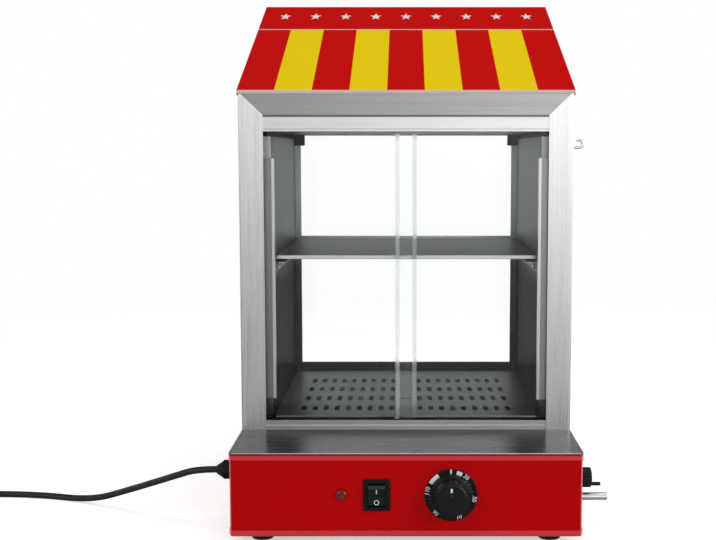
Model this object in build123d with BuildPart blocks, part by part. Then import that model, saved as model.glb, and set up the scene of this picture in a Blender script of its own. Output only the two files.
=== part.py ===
from build123d import *
import os
from math import atan2, cos, pi, radians, sin, sqrt, tan

# Counter-top hot dog steamer: a red base with the controls and a water tank, and on it a
# steel cabinet with two sliding glass doors, one shelf, a perforated floor and a sloped
# striped roof.
# Millimetres, +Z up. The origin is on the table, midway between the four feet.
# The front faces -Y and +X is on the right of someone who stands in front.

# ---- Overall sizes ----
width = 350.0                # base and cabinet, side to side
depth = 410.0                # base, front to back
foot_height = 10.0           # feet below the base
base_height = 84.0           # base, without its feet
deck_depth = 100.0           # open top of the base in front of the cabinet
eave_height = 358.0          # cabinet front above the deck
roof_rise = 118.0            # ridge above the eave
roof_top_depth = 30.0        # flat strip behind the ridge

# ---- Sheet metal and general fits ----
sheet = 1.0                  # casing and liner sheet
bend = 2.0                   # outer bend radius of the sheets
seam = 0.3                   # gap between neighbouring sheets and parts
hole_play = 0.2              # radial play of a screw in its hole

# ---- Roof ----
roof_tail = 14.0             # rear flange of the roof sheet
cover_sheet = 0.8            # painted cover over the roof sheet
cover_gap = 0.1
cover_front_hem = 3.0
cover_side_hem = 5.0

# ---- Cabinet front ----
post_width = 26.0            # front flange of each side panel
header_height = 25.0         # front flange of the roof sheet
top_rail_height = 17.0       # visible face of the upper door rail
bottom_rail_height = 10.0    # visible face of the lower door rail
rail_sheet = 1.5
rail_end_gap = 10.0          # rails stop this far inside the cabinet's sides
rail_pocket = 19.0           # rail face to the liner's front flange

# ---- Sliding doors ----
glass = 4.0
glass_play = 0.6             # play of the glass in its groove, each side
door_overlap = 22.0          # the two panes at the middle
door_hidden = 2.0            # outer edge of a pane behind its post
runner_floor = 1.5           # plastic below the glass
bottom_groove = 6.5          # groove depths
top_groove = 15.5
door_lift = 0.3              # glass above the groove's floor
door_top_free = 7.0          # free height above the glass, to lift a door out
pull_end_gap = 25.0          # pull to the rails, on average
pull_drop = 3.0              # pull below the opening's middle
pull_width = 13.0
pull_wall = 1.2
pull_rib = 1.0
pull_rib_width = 3.0

# ---- Chamber ----
liner_half = 143.0           # inner face of a side wall from the middle
wall_cavity = 14.0           # liner back wall to the outer back panel
ceiling_drop = 41.0          # liner ceiling below the eave
shelf_height = 184.0         # shelf top above the deck
shelf_front_gap = 30.0       # shelf and floor behind the cabinet front
shelf_lip = 4.0
shelf_skirt = 8.0
ledge = 12.0                 # shelf supports
side_clearance = 1.0         # shelf, floor and tank rim from the walls

# ---- Perforated floor ----
floor_height = 11.0          # its top above the deck
floor_front_gap = 21.0
slot_width = 5.5
slot_length = 24.0
slot_pitch = 12.2            # side to side
slot_row_pitch = 53.0        # front to back
slot_rows = 4
slot_columns = 9             # in each half
slot_first = 15.5            # first column from the middle
slot_first_row = 60.0        # first row behind the cabinet front
lift_slot_length = 14.0
lift_slot_width = 6.0

# ---- Water tank ----
tank_rim = 11.0              # flange around the tank
tank_depth = 54.0            # below the deck's top
tank_corner = 18.0
tank_taper = 4.0             # degrees
tank_bottom_round = 8.0
deck_cut_play = 1.0          # deck opening around the tank

# ---- Heating element ----
heater_d = 8.0
heater_height = 44.0         # tube's axis above the base's underside
heater_half = 100.0          # outer runs from the middle
heater_inner = 40.0          # inner runs
heater_leg = 25.0            # legs through the tank wall
heater_bend = 18.0
heater_front = 30.0          # outer bends behind the tank's front wall
heater_back = 40.0           # loops stop this far from the tank's back wall
bush_d = 14.0
nut_flats = 19.0

# ---- Base ----
bead = 0.8                   # hems at the base's top and bottom edges
bead_height = 5.5
bead_inset = 1.8             # hem to the base's edge
base_bend = 3.0
base_flange = 12.0
deck_skirt = 10.0
vent_length = 44.0
vent_width = 4.0

# ---- Controls, on the middle line of the base's front ----
control_height = 42.0        # above the base's underside
lamp_x = -63.6
lamp_d = 10.8
rocker_x = -29.0
rocker_bezel_width = 26.5
rocker_bezel_height = 31.7
rocker_cut_width = 22.0
rocker_cut_height = 28.5
rocker_tilt = 10.0           # degrees each way
lamp_neck_d = 9.6
knob_x = 44.3
knob_d = 41.5
knob_height = 19.0
dial_d = 52.5
dial_thickness = 0.8
shaft_d = 6.0
shaft_play = 0.05

# ---- Cable entry and drain ----
gland_depth = 65.0           # behind the base's front
gland_height = 50.5          # above the base's underside
gland_d = 22.0
gland_length = 22.0
drain_depth = 70.0
drain_knob_height = 40.8
drain_pipe_height = 20.5
drain_pipe_d = 8.0
drain_collar_d = 8.8         # the spout where it passes the wall
drain_bore = 5.2
drain_spigot = 25.0          # hose length on the spout
drain_pipe_out = 35.0        # spout beyond the base's side
drain_knob_d = 21.0
drain_knob_out = 18.0

# ---- Utensil hook ----
hook_depth = 60.0            # behind the cabinet front
hook_drop = 58.5             # below the eave
hook_wire = 3.0

# ---- Feet and screws ----
foot_d = 26.0
foot_tip_d = 22.0
foot_x = 145.0
foot_y = 175.0
foot_seat = 5.0              # screw head's seat above the table
screw_d = 4.0
screw_head_d = 7.5
screw_head = 2.4

# ---- Mains lead ----
cord_d = 7.0
coil_x = -508.0
coil_y = -85.0
coil_turns = 5.25
coil_gap = 0.7               # between neighbouring turns
coil_inner = 29.0            # innermost turn, at its middle
plug_width = 48.0
plug_length = 46.0
plug_thickness = 20.0
plug_boot = 24.0             # sleeve on the cord
pin_spacing = 22.2

os.makedirs("parts", exist_ok=True)

# ---- Places that follow from the sizes ----
side = width / 2
front = -depth / 2
back = depth / 2
base_z = foot_height
deck_z = base_z + base_height
cabinet_front = front + deck_depth
eave_z = deck_z + eave_height
ridge_z = eave_z + roof_rise
ridge_y = back - roof_top_depth
slope = atan2(roof_rise, ridge_y - cabinet_front)
opening_half = side - post_width
control_z = base_z + control_height
liner_top = eave_z - ceiling_drop
middle_y = (cabinet_front + back) / 2


def write(piece, name):
    """Label a finished piece and write it."""
    piece.part.label = name
    export_step(piece.part, f"parts/{name}.step")


def roof_line(drop):
    """Eave, ridge and back corner of the roof, this far below its top face, square to it."""
    return [
        (cabinet_front, eave_z - drop / cos(slope)),
        (ridge_y + drop * tan(slope / 2), ridge_z - drop),
        (back, ridge_z - drop),
    ]


def mirrored(make):
    """Build a right-hand piece and its left-hand twin."""
    right = make()
    with BuildPart() as left:
        mirror(right.part, about=Plane.YZ)
    return right, left


def pan_head(places, length, hole_plane=Plane.XY):
    """A group of pan-head screws: heads stand on the plane, shanks go the other way."""
    with BuildPart(hole_plane) as screws:
        with Locations(*places):
            Cylinder(screw_head_d / 2, screw_head, align=(Align.CENTER, Align.CENTER, Align.MIN))
            Cylinder(screw_d / 2, length, align=(Align.CENTER, Align.CENTER, Align.MAX))
        fillet(
            screws.edges().filter_by(GeomType.CIRCLE).group_by(Axis(hole_plane.origin, hole_plane.z_dir))[-1],
            screw_head * 0.4,
        )
    return screws


# ==== Base ====

# Red housing: one sheet bent round the front and both sides, with hems at its edges.
# The wall stands in from the hems by their height.
wall_side = side - bead
wall_front = front + bead
shell_height = base_height - sheet
return_lip = 15.0            # rear lips that carry the base's back plate
gland_y = front + gland_depth
gland_z = base_z + gland_height
gland_thread_d = 16.0
drain_y = front + drain_depth
drain_knob_z = base_z + drain_knob_height
drain_pipe_z = base_z + drain_pipe_height
spindle_d = 8.0
thermostat_screws = 28.0     # distance between the thermostat's two screws
dial_screw_head_d = 5.6
back_screw_x = wall_side - return_lip / 2
base_screw_z = (base_z + 14, deck_z - 14)
rear_screw_length = 6.0

with BuildPart() as base_shell:
    with BuildSketch(Plane.XY.offset(base_z)):
        with BuildLine():
            FilletPolyline(
                (-wall_side + return_lip, back - sheet), (-wall_side, back - sheet),
                (-wall_side, wall_front), (wall_side, wall_front),
                (wall_side, back - sheet), (wall_side - return_lip, back - sheet),
                radius=base_bend,
            )
            offset(amount=sheet, side=Side.LEFT)
        make_face()
    extrude(amount=shell_height)
    # Bottom flange, all along the inside of the wall.
    with BuildSketch(Plane.XY.offset(base_z)):
        with Locations((0, (wall_front + back - sheet) / 2)):
            Rectangle(2 * wall_side, back - sheet - wall_front)
            fillet(vertices(), base_bend)
        with Locations((0, (wall_front + back - sheet) / 2)):
            Rectangle(
                2 * (wall_side - base_flange), back - sheet - wall_front - 2 * base_flange,
                mode=Mode.SUBTRACT,
            )
    extrude(amount=sheet)
    # Hems.
    for level in (bead_inset, shell_height - bead_inset - bead_height):
        with BuildSketch(Plane.XY.offset(base_z + level)):
            with BuildLine():
                FilletPolyline(
                    (-side, back - sheet - base_bend), (-side, front), (side, front),
                    (side, back - sheet - base_bend), radius=base_bend + bead,
                )
                offset(amount=bead + sheet / 2, side=Side.LEFT)
            make_face()
        extrude(amount=bead_height)
    # Openings for the controls, the cable gland and the drain.
    with BuildSketch(Plane.XZ.offset(-front - base_bend)):
        with Locations((rocker_x, control_z)):
            Rectangle(rocker_cut_width + 2 * seam, rocker_cut_height + 2 * seam)
        with Locations((lamp_x, control_z)):
            Circle(lamp_neck_d / 2 + hole_play)
        with Locations((knob_x, control_z)):
            Circle(shaft_d / 2 + 2)
        with Locations((knob_x - thermostat_screws / 2, control_z), (knob_x + thermostat_screws / 2, control_z)):
            Circle(1.5 + hole_play)
    extrude(amount=2 * base_bend, mode=Mode.SUBTRACT)
    with BuildSketch(Plane.YZ.offset(-side - 1)):
        with Locations((gland_y, gland_z)):
            Circle(gland_thread_d / 2 + hole_play)
    extrude(amount=base_bend, mode=Mode.SUBTRACT)
    with BuildSketch(Plane.YZ.offset(side - base_bend)):
        with Locations((drain_y, drain_knob_z)):
            Circle(spindle_d / 2 + hole_play)
        with Locations((drain_y, drain_pipe_z)):
            Circle(drain_collar_d / 2 + hole_play)
    extrude(amount=base_bend + 1, mode=Mode.SUBTRACT)
    # Screw holes in the rear lips.
    with BuildSketch(Plane.XZ.offset(-back + sheet / 2)):
        with Locations(*[(x, z) for x in (-back_screw_x, back_screw_x) for z in base_screw_z]):
            Circle(screw_d / 2 + shaft_play)
    extrude(amount=2 * sheet, mode=Mode.SUBTRACT)
write(base_shell, "base_shell")

# Tank outline, shared by the tank, the deck's opening and the perforated floor.
tank_front = cabinet_front + floor_front_gap
tank_back = back - sheet - wall_cavity - sheet - side_clearance
rim_half = liner_half - side_clearance
tank_mid = (tank_front + tank_back) / 2
tank_width = 2 * (rim_half - tank_rim)
tank_length = tank_back - tank_front - 2 * tank_rim

# Steel deck: closes the base, with a skirt inside the housing and an opening for the tank.
skirt_out = wall_side - sheet - seam
skirt_front = wall_front + sheet + seam
skirt_back = back - 2 * sheet - seam
with BuildPart() as base_deck:
    with BuildSketch(Plane.XY.offset(deck_z - sheet)):
        RectangleRounded(width, depth, base_bend + bead)
    extrude(amount=sheet)
    chamfer(base_deck.edges().group_by(Axis.Z)[-1], 0.35)
    with BuildSketch(Plane.XY.offset(deck_z - sheet)):
        with Locations((0, tank_mid)):
            RectangleRounded(
                tank_width + 2 * deck_cut_play, tank_length + 2 * deck_cut_play, tank_corner + deck_cut_play
            )
    extrude(amount=sheet, mode=Mode.SUBTRACT)
    with BuildSketch(Plane.XY.offset(deck_z - sheet)):
        with Locations((0, (skirt_front + skirt_back) / 2)):
            RectangleRounded(2 * skirt_out, skirt_back - skirt_front, bend)
            RectangleRounded(
                2 * (skirt_out - sheet), skirt_back - skirt_front - 2 * sheet, bend - sheet,
                mode=Mode.SUBTRACT,
            )
    extrude(amount=-deck_skirt)
write(base_deck, "base_deck")

# Bottom plate, with cooling slots and holes for the feet's screws.
foot_places = [(x, y) for x in (-foot_x, foot_x) for y in (-foot_y, foot_y)]
plate_z = base_z + sheet
with BuildPart() as base_bottom:
    with BuildSketch(Plane.XY.offset(plate_z)):
        with Locations((0, (skirt_front + skirt_back) / 2)):
            RectangleRounded(2 * skirt_out, skirt_back - skirt_front, bend)
        with Locations(*foot_places):
            Circle(screw_d / 2 + hole_play, mode=Mode.SUBTRACT)
        with Locations((0, -130), (0, 40)):
            with GridLocations(70, 14, 3, 5):
                SlotOverall(vent_length, vent_width, mode=Mode.SUBTRACT)
    extrude(amount=sheet)
write(base_bottom, "base_bottom")

# Back plate of the base, with a row of cooling slots.
with BuildPart() as base_back:
    with BuildSketch(Plane.XZ.offset(-back)):
        with Locations((0, base_z + shell_height / 2)):
            Rectangle(2 * wall_side - 2 * seam, shell_height)
        with Locations((0, base_z + base_height / 2)):
            with GridLocations(12, 0, 12, 1):
                SlotOverall(30, vent_width, rotation=90, mode=Mode.SUBTRACT)
        with Locations(*[(x, z) for x in (-back_screw_x, back_screw_x) for z in base_screw_z]):
            Circle(screw_d / 2 + hole_play, mode=Mode.SUBTRACT)
    extrude(amount=sheet)
write(base_back, "base_back")

# Four rubber feet with a recess for the screw.
with BuildPart() as feet:
    with Locations(*[(x, y, 0) for x, y in foot_places]):
        Cone(foot_tip_d / 2, foot_d / 2, plate_z, align=(Align.CENTER, Align.CENTER, Align.MIN))
    fillet(feet.edges().group_by(Axis.Z)[0], 1)
    with Locations(*[(x, y, 0) for x, y in foot_places]):
        Cylinder(
            screw_head_d / 2 + 1, foot_seat, align=(Align.CENTER, Align.CENTER, Align.MIN),
            mode=Mode.SUBTRACT,
        )
        Cylinder(
            screw_d / 2 + hole_play, plate_z, align=(Align.CENTER, Align.CENTER, Align.MIN),
            mode=Mode.SUBTRACT,
        )
write(feet, "feet")

# Their screws come up through the bottom plate.
foot_screws = pan_head(
    [(x, -y, 0) for x, y in foot_places], 14, Plane(origin=(0, 0, foot_seat), x_dir=(1, 0, 0), z_dir=(0, 0, -1))
)
write(foot_screws, "foot_screws")

# ==== Water tank ====

def tank_pan(wall):
    """Solid form of the deep-drawn pan, this far inside its outer face."""
    with BuildPart() as pan:
        with BuildSketch(Plane.XY.offset(deck_z)):
            with Locations((0, tank_mid)):
                RectangleRounded(tank_width - 2 * wall, tank_length - 2 * wall, tank_corner - wall)
        extrude(amount=-tank_depth + wall, taper=tank_taper)
        fillet(pan.edges().group_by(Axis.Z)[0], tank_bottom_round - wall)
    return pan


pan_outside, pan_inside = tank_pan(0), tank_pan(sheet)
with BuildPart() as water_tank:
    add(pan_outside.part)
    add(pan_inside.part, mode=Mode.SUBTRACT)
    with BuildSketch(Plane.XY.offset(deck_z)):
        with Locations((0, tank_mid)):
            RectangleRounded(2 * rim_half, tank_back - tank_front, bend * 3)
            RectangleRounded(
                tank_width - 2 * sheet, tank_length - 2 * sheet, tank_corner - sheet, mode=Mode.SUBTRACT
            )
    extrude(amount=sheet)
    # Holes in the front wall: two heater bushes, the sensor and the drain pipe.
    heater_z = base_z + heater_height
    sensor_x = 62.0
    sensor_z = heater_z + 8
    drain_inlet_x = 104.0
    drain_inlet_z = drain_knob_z - 2.5
    pipe_d = 10.0
    with BuildSketch(Plane.XZ.offset(-tank_front)):
        with Locations((-heater_leg, heater_z), (heater_leg, heater_z)):
            Circle(bush_d / 2 + hole_play)
        with Locations((sensor_x, sensor_z)):
            Circle(4 + hole_play)
        with Locations((drain_inlet_x, drain_inlet_z)):
            Circle(pipe_d / 2 + hole_play)
    extrude(amount=-3 * tank_rim, mode=Mode.SUBTRACT)
write(water_tank, "water_tank")

# Tubular heating element: one tube in an M-shaped loop just above the tank's bottom.
# Both ends leave through the front wall, each in a threaded bush with a contact tab.
inner_front = tank_front + tank_rim
wall_lean = tan(radians(tank_taper))
heater_wall = inner_front + (deck_z - heater_z) * wall_lean
heater_y0 = heater_wall - 15
heater_y1 = heater_wall + heater_front
heater_y2 = tank_back - tank_rim - heater_back
with BuildPart() as heating_element:
    with BuildLine() as heater_path:
        FilletPolyline(
            (-heater_leg, heater_y0, heater_z),
            (-heater_leg, heater_y1, heater_z),
            (-heater_half, heater_y1, heater_z),
            (-heater_half, heater_y2, heater_z),
            (-heater_inner, heater_y2, heater_z),
            (-heater_inner, heater_y1 + 2.6 * heater_bend, heater_z),
            (heater_inner, heater_y1 + 2.6 * heater_bend, heater_z),
            (heater_inner, heater_y2, heater_z),
            (heater_half, heater_y2, heater_z),
            (heater_half, heater_y1, heater_z),
            (heater_leg, heater_y1, heater_z),
            (heater_leg, heater_y0, heater_z),
            radius=heater_bend,
        )
    heater_line = heater_path.wires()[0]
    with BuildSketch(Plane(origin=heater_line @ 0, z_dir=heater_line % 0)):
        Circle(heater_d / 2)
    sweep(path=heater_line)
    for x in (-heater_leg, heater_leg):
        # Bush through the wall, its flange inside the tank, and the contact tab in front.
        with BuildSketch(Plane.XZ.offset(-heater_y0)):
            with Locations((x, heater_z)):
                Circle(bush_d / 2)
        extrude(amount=-24)
        with BuildSketch(Plane.XZ.offset(-heater_wall - sheet - seam - 10 * wall_lean)):
            with Locations((x, heater_z)):
                Circle(bush_d / 2 + 1.2)
        extrude(amount=-2.5)
        with BuildSketch(Plane.XZ.offset(-heater_y0)):
            with Locations((x, heater_z)):
                Circle(2)
        extrude(amount=14)
write(heating_element, "heating_element")

# Nuts that clamp the bushes to the wall from outside.
with BuildPart() as heater_nuts:
    with BuildSketch(Plane.XZ.offset(-heater_wall + nut_flats * wall_lean / 2 + 0.1)):
        with Locations((-heater_leg, heater_z), (heater_leg, heater_z)):
            RegularPolygon(nut_flats / 2, 6, major_radius=False)
            Circle(bush_d / 2 + shaft_play, mode=Mode.SUBTRACT)
    extrude(amount=5)
write(heater_nuts, "heater_nuts")

# Saddles that hold the loop off the bottom.
saddle_z = deck_z - tank_depth + sheet
with BuildPart() as heater_saddles:
    for x in (-heater_half, heater_half):
        with BuildSketch(Plane.XZ.offset(-(heater_y1 + heater_y2) / 2)):
            with BuildLine():
                Polyline(
                    (x - 9, saddle_z), (x - 9, saddle_z + sheet), (x - 5.5, saddle_z + sheet),
                    (x - 5.5, heater_z), (x - 4.5, heater_z), (x - 4.5, heater_z - 4.6),
                    (x + 4.5, heater_z - 4.6), (x + 4.5, heater_z), (x + 5.5, heater_z),
                    (x + 5.5, saddle_z + sheet), (x + 9, saddle_z + sheet), (x + 9, saddle_z), close=True,
                )
            make_face()
        extrude(amount=10)
write(heater_saddles, "heater_saddles")

# Sensor of the thermostat: a bulb in the tank on a thin capillary tube through the wall.
thermostat_y = front + bead + sheet
thermostat_depth = 34.0
sensor_wall = inner_front + (deck_z - sensor_z) * wall_lean
bulb_y = sensor_wall + 10
with BuildPart() as thermostat_sensor:
    with BuildLine() as capillary:
        FilletPolyline(
            (knob_x + 12, thermostat_y + thermostat_depth, control_z + 6),
            (knob_x + 12, thermostat_y + thermostat_depth + 26, control_z + 6),
            (sensor_x, thermostat_y + thermostat_depth + 48, sensor_z),
            (sensor_x, bulb_y, sensor_z),
            radius=9,
        )
    capillary_line = capillary.wires()[0]
    with BuildSketch(Plane(origin=capillary_line @ 0, z_dir=capillary_line % 0)):
        Circle(1)
    sweep(path=capillary_line)
    with BuildSketch(Plane.XZ.offset(-bulb_y)):
        with Locations((sensor_x, sensor_z)):
            Circle(3)
    extrude(amount=-70)
    # Gland that seals the capillary in the wall.
    with BuildSketch(Plane.XZ.offset(-sensor_wall + 6)):
        with Locations((sensor_x, sensor_z)):
            Circle(4)
    extrude(amount=-11)
    with BuildSketch(Plane.XZ.offset(-sensor_wall + 6 * wall_lean + 0.1)):
        with Locations((sensor_x, sensor_z)):
            RegularPolygon(6, 6)
    extrude(amount=4)
write(thermostat_sensor, "thermostat_sensor")

# ==== Controls ====

# Thermostat: a box behind the front with a neck for the shaft and two screw bosses.
with BuildPart() as thermostat:
    with BuildSketch(Plane.XZ.offset(-thermostat_y)):
        with Locations((knob_x, control_z)):
            RectangleRounded(40, 32, 3)
    extrude(amount=-thermostat_depth)
    with BuildSketch(Plane.XZ.offset(-thermostat_y)):
        with Locations((knob_x, control_z)):
            Circle(shaft_d / 2 + shaft_play)
        with Locations((knob_x - thermostat_screws / 2, control_z), (knob_x + thermostat_screws / 2, control_z)):
            Circle(1.5 + shaft_play)
    extrude(amount=-14, mode=Mode.SUBTRACT)
    # Contact tabs.
    with BuildSketch(Plane.XZ.offset(-thermostat_y - thermostat_depth)):
        with Locations((knob_x - 12, control_z - 8), (knob_x, control_z - 8)):
            Rectangle(6.3, 0.8)
    extrude(amount=-9)
write(thermostat, "thermostat")

# Dial plate on the front, clamped by the thermostat's two screws.
with BuildPart() as dial_plate:
    with BuildSketch(Plane.XZ.offset(-wall_front)):
        with Locations((knob_x, control_z)):
            Circle(dial_d / 2)
            Circle(shaft_d / 2 + 2, mode=Mode.SUBTRACT)
        with Locations((knob_x - thermostat_screws / 2, control_z), (knob_x + thermostat_screws / 2, control_z)):
            Circle(1.5 + hole_play, mode=Mode.SUBTRACT)
    extrude(amount=dial_thickness)
    chamfer(dial_plate.faces().sort_by(Axis.Y)[0].edges().sort_by(SortBy.LENGTH)[-1], 0.3)
write(dial_plate, "dial_plate")

with BuildPart() as thermostat_screw_pair:
    with BuildSketch(Plane.XZ.offset(-wall_front + dial_thickness)):
        with Locations((knob_x - thermostat_screws / 2, control_z), (knob_x + thermostat_screws / 2, control_z)):
            Circle(1.5)
    extrude(amount=-11)
    with BuildSketch(Plane.XZ.offset(-wall_front + dial_thickness)):
        with Locations((knob_x - thermostat_screws / 2, control_z), (knob_x + thermostat_screws / 2, control_z)):
            Circle(dial_screw_head_d / 2)
    extrude(amount=1.2)
write(thermostat_screw_pair, "thermostat_screws")

# Knob: a turned grip with flutes, hollow behind to clear the screw heads, on a D-shaft.
knob_back = wall_front - dial_thickness - 0.7
knob_skirt = 4.0
flutes = 24
with BuildPart() as knob:
    with BuildSketch(Plane(origin=(knob_x, 0, control_z), x_dir=(1, 0, 0), z_dir=(0, 0, 1))):
        with BuildLine():
            l1 = Line((0, knob_back), (knob_d / 2, knob_back))
            l2 = Line(l1 @ 1, (knob_d / 2, knob_back - knob_skirt))
            l3 = Line(l2 @ 1, (knob_d / 2 - 2.5, knob_back - knob_skirt - 1))
            l4 = Line(l3 @ 1, (knob_d / 2 - 4, knob_back - knob_height + 3))
            l5 = RadiusArc(l4 @ 1, (knob_d / 2 - 7, knob_back - knob_height), -3)
            l6 = Line(l5 @ 1, (0, knob_back - knob_height))
            Line(l6 @ 1, l1 @ 0)
        make_face()
    revolve(axis=Axis((knob_x, 0, control_z), (0, 1, 0)))
    with BuildSketch(Plane.XZ.offset(-knob_back)):
        with Locations((knob_x, control_z)):
            Circle(thermostat_screws / 2 + dial_screw_head_d / 2 + 0.6)
            Circle(6, mode=Mode.SUBTRACT)
    extrude(amount=knob_skirt - 1, mode=Mode.SUBTRACT)
    with BuildSketch(Plane.XZ.offset(-knob_back)):
        with Locations((knob_x, control_z)):
            Circle(shaft_d / 2 + shaft_play)
            with Locations((0, shaft_d / 2)):
                Rectangle(shaft_d * 1.2, 3 - 2 * shaft_play, mode=Mode.SUBTRACT)
    extrude(amount=12, mode=Mode.SUBTRACT)
    # Flutes round the grip.
    with BuildSketch(Plane.XZ.offset(-knob_back + knob_skirt + 1.6)):
        with Locations((knob_x, control_z)):
            with PolarLocations(knob_d / 2 - 1.7, flutes, start_angle=180 / flutes):
                Circle(1.4)
    extrude(amount=knob_height, mode=Mode.SUBTRACT)
write(knob, "knob")

# White pointer line set in the knob's face.
pointer_length = 9.0
with BuildPart() as knob_pointer:
    with BuildSketch(Plane.XZ.offset(-knob_back + knob_height)):
        with Locations((knob_x, control_z + 7.5)):
            RectangleRounded(2, pointer_length, 0.8)
    extrude(amount=0.5)
write(knob_pointer, "knob_pointer")

with BuildPart() as thermostat_shaft:
    with BuildSketch(Plane.XZ.offset(-thermostat_y - 12)):
        with Locations((knob_x, control_z)):
            Circle(shaft_d / 2)
    extrude(amount=12 + thermostat_y - knob_back + 11.5)
    # Flat on the part of the shaft that carries the knob.
    with BuildSketch(Plane.XZ.offset(-knob_back)):
        with Locations((knob_x, control_z + shaft_d / 2)):
            Rectangle(shaft_d * 1.2, 3)
    extrude(amount=20, mode=Mode.SUBTRACT)
write(thermostat_shaft, "thermostat_shaft")

# Rocker switch: bezel and hollow body in one, snapped into the front.
bezel_out = 2.0
rocker_depth = 26.0
rocker_wall = 2.2
pivot_y = wall_front + 3.0
pivot_d = 3.0
rocker_r = rocker_cut_height / 2 - rocker_wall - seam
rocker_half = rocker_cut_width / 2 - rocker_wall - seam
with BuildPart() as rocker_body:
    with BuildSketch(Plane.XZ.offset(-wall_front)):
        with Locations((rocker_x, control_z)):
            RectangleRounded(rocker_bezel_width, rocker_bezel_height, 1.5)
    extrude(amount=bezel_out)
    fillet(rocker_body.faces().sort_by(Axis.Y)[0].edges(), 0.8)
    with BuildSketch(Plane.XZ.offset(-wall_front)):
        with Locations((rocker_x, control_z)):
            Rectangle(rocker_cut_width, rocker_cut_height)
    extrude(amount=-rocker_depth)
    with BuildSketch(Plane.XZ.offset(-wall_front + bezel_out)):
        with Locations((rocker_x, control_z)):
            Rectangle(rocker_cut_width - 2 * rocker_wall, rocker_cut_height - 2 * rocker_wall)
    extrude(amount=-bezel_out - 19, mode=Mode.SUBTRACT)
    # Blind holes for the pivot.
    with BuildSketch(Plane.YZ.offset(rocker_x)):
        with Locations((pivot_y, control_z)):
            Circle(pivot_d / 2 + shaft_play)
    extrude(amount=rocker_cut_width / 2 - 1, both=True, mode=Mode.SUBTRACT)
    # Contact tabs.
    for dz in (-8, 0, 8):
        with BuildSketch(Plane.XZ.offset(-wall_front - rocker_depth)):
            with Locations((rocker_x, control_z + dz)):
                Rectangle(6.3, 0.8)
        extrude(amount=-9)
write(rocker_body, "rocker_body")

# Rocker: round about its pivot, with a shallow V face; at rest its lower half is pressed.
rest_tilt = radians(rocker_tilt)
rocker_plane = Plane(
    origin=(rocker_x, pivot_y, control_z), x_dir=(0, cos(rest_tilt), sin(rest_tilt)), z_dir=(1, 0, 0)
)
with BuildPart() as rocker:
    with BuildSketch(rocker_plane):
        Circle(rocker_r)
        # The V face and the open back are cut away.
        with BuildLine():
            Polyline(
                (-6.2, 0), (-8.2, rocker_r), (-30, rocker_r), (-30, -rocker_r), (-8.2, -rocker_r), close=True
            )
        make_face(mode=Mode.SUBTRACT)
        with Locations((3 + rocker_r, 0)):
            Rectangle(2 * rocker_r, 3 * rocker_r, mode=Mode.SUBTRACT)
    extrude(amount=rocker_half, both=True)
    with BuildSketch(rocker_plane):
        Circle(pivot_d / 2)
    extrude(amount=rocker_cut_width / 2 - 1.2, both=True)
write(rocker, "rocker")

# Indicator lamp: a domed lens on a barrel with two tabs.
with BuildPart() as lamp_lens:
    with BuildSketch(Plane.XZ.offset(-wall_front)):
        with Locations((lamp_x, control_z)):
            Circle(lamp_d / 2)
    extrude(amount=3)
    fillet(lamp_lens.faces().sort_by(Axis.Y)[0].edges(), 1.8)
write(lamp_lens, "lamp_lens")

with BuildPart() as lamp_barrel:
    with BuildSketch(Plane.XZ.offset(-wall_front)):
        with Locations((lamp_x, control_z)):
            Circle(lamp_neck_d / 2)
    extrude(amount=-24)
    with BuildSketch(Plane.XZ.offset(-wall_front - sheet)):
        with Locations((lamp_x, control_z)):
            RegularPolygon(8, 6)
    extrude(amount=-4)
    for dx in (-3, 3):
        with BuildSketch(Plane.XZ.offset(-wall_front - 24)):
            with Locations((lamp_x + dx, control_z)):
                Rectangle(0.8, 4.8)
        extrude(amount=-8)
write(lamp_barrel, "lamp_barrel")

# ==== Cable entry ====

# Cable gland: a thread through the wall, a collar, a dome and a nose down to the cord.
with BuildPart() as cable_gland:
    with BuildSketch(Plane.XZ.offset(-gland_y)):
        with BuildLine():
            l1 = Line((-wall_side + 12, gland_z), (-wall_side + 12, gland_z + gland_thread_d / 2))
            l2 = Line(l1 @ 1, (-wall_side, gland_z + gland_thread_d / 2))
            l3 = Line(l2 @ 1, (-wall_side, gland_z + gland_d / 2))
            l4 = Line(l3 @ 1, (-wall_side - 7.5, gland_z + gland_d / 2))
            l5 = Line(l4 @ 1, (-wall_side - 8.5, gland_z + gland_d / 2 - 1.8))
            l6 = Line(l5 @ 1, (-wall_side - gland_length + 6, gland_z + gland_d / 2 - 2.6))
            l7 = ThreePointArc(
                l6 @ 1, (-wall_side - gland_length + 3.2, gland_z + 6.6), (-wall_side - gland_length, gland_z + 4.4)
            )
            l8 = Line(l7 @ 1, (-wall_side - gland_length, gland_z))
            Line(l8 @ 1, l1 @ 0)
        make_face()
    revolve(axis=Axis((0, gland_y, gland_z), (1, 0, 0)))
    # Grip ribs round the dome.
    with BuildSketch(Plane.YZ.offset(-wall_side - 8.5)):
        with Locations((gland_y, gland_z)):
            with PolarLocations(gland_d / 2 - 1.9, 16):
                Rectangle(1.6, 1.4)
    extrude(amount=-gland_length + 15.5)
write(cable_gland, "cable_gland")

with BuildPart() as gland_nut:
    with BuildSketch(Plane.YZ.offset(-wall_side + sheet)):
        with Locations((gland_y, gland_z)):
            RegularPolygon(gland_d / 2, 6, major_radius=False)
            Circle(gland_thread_d / 2 + shaft_play, mode=Mode.SUBTRACT)
    extrude(amount=5)
write(gland_nut, "gland_nut")

# ==== Drain ====

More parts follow.
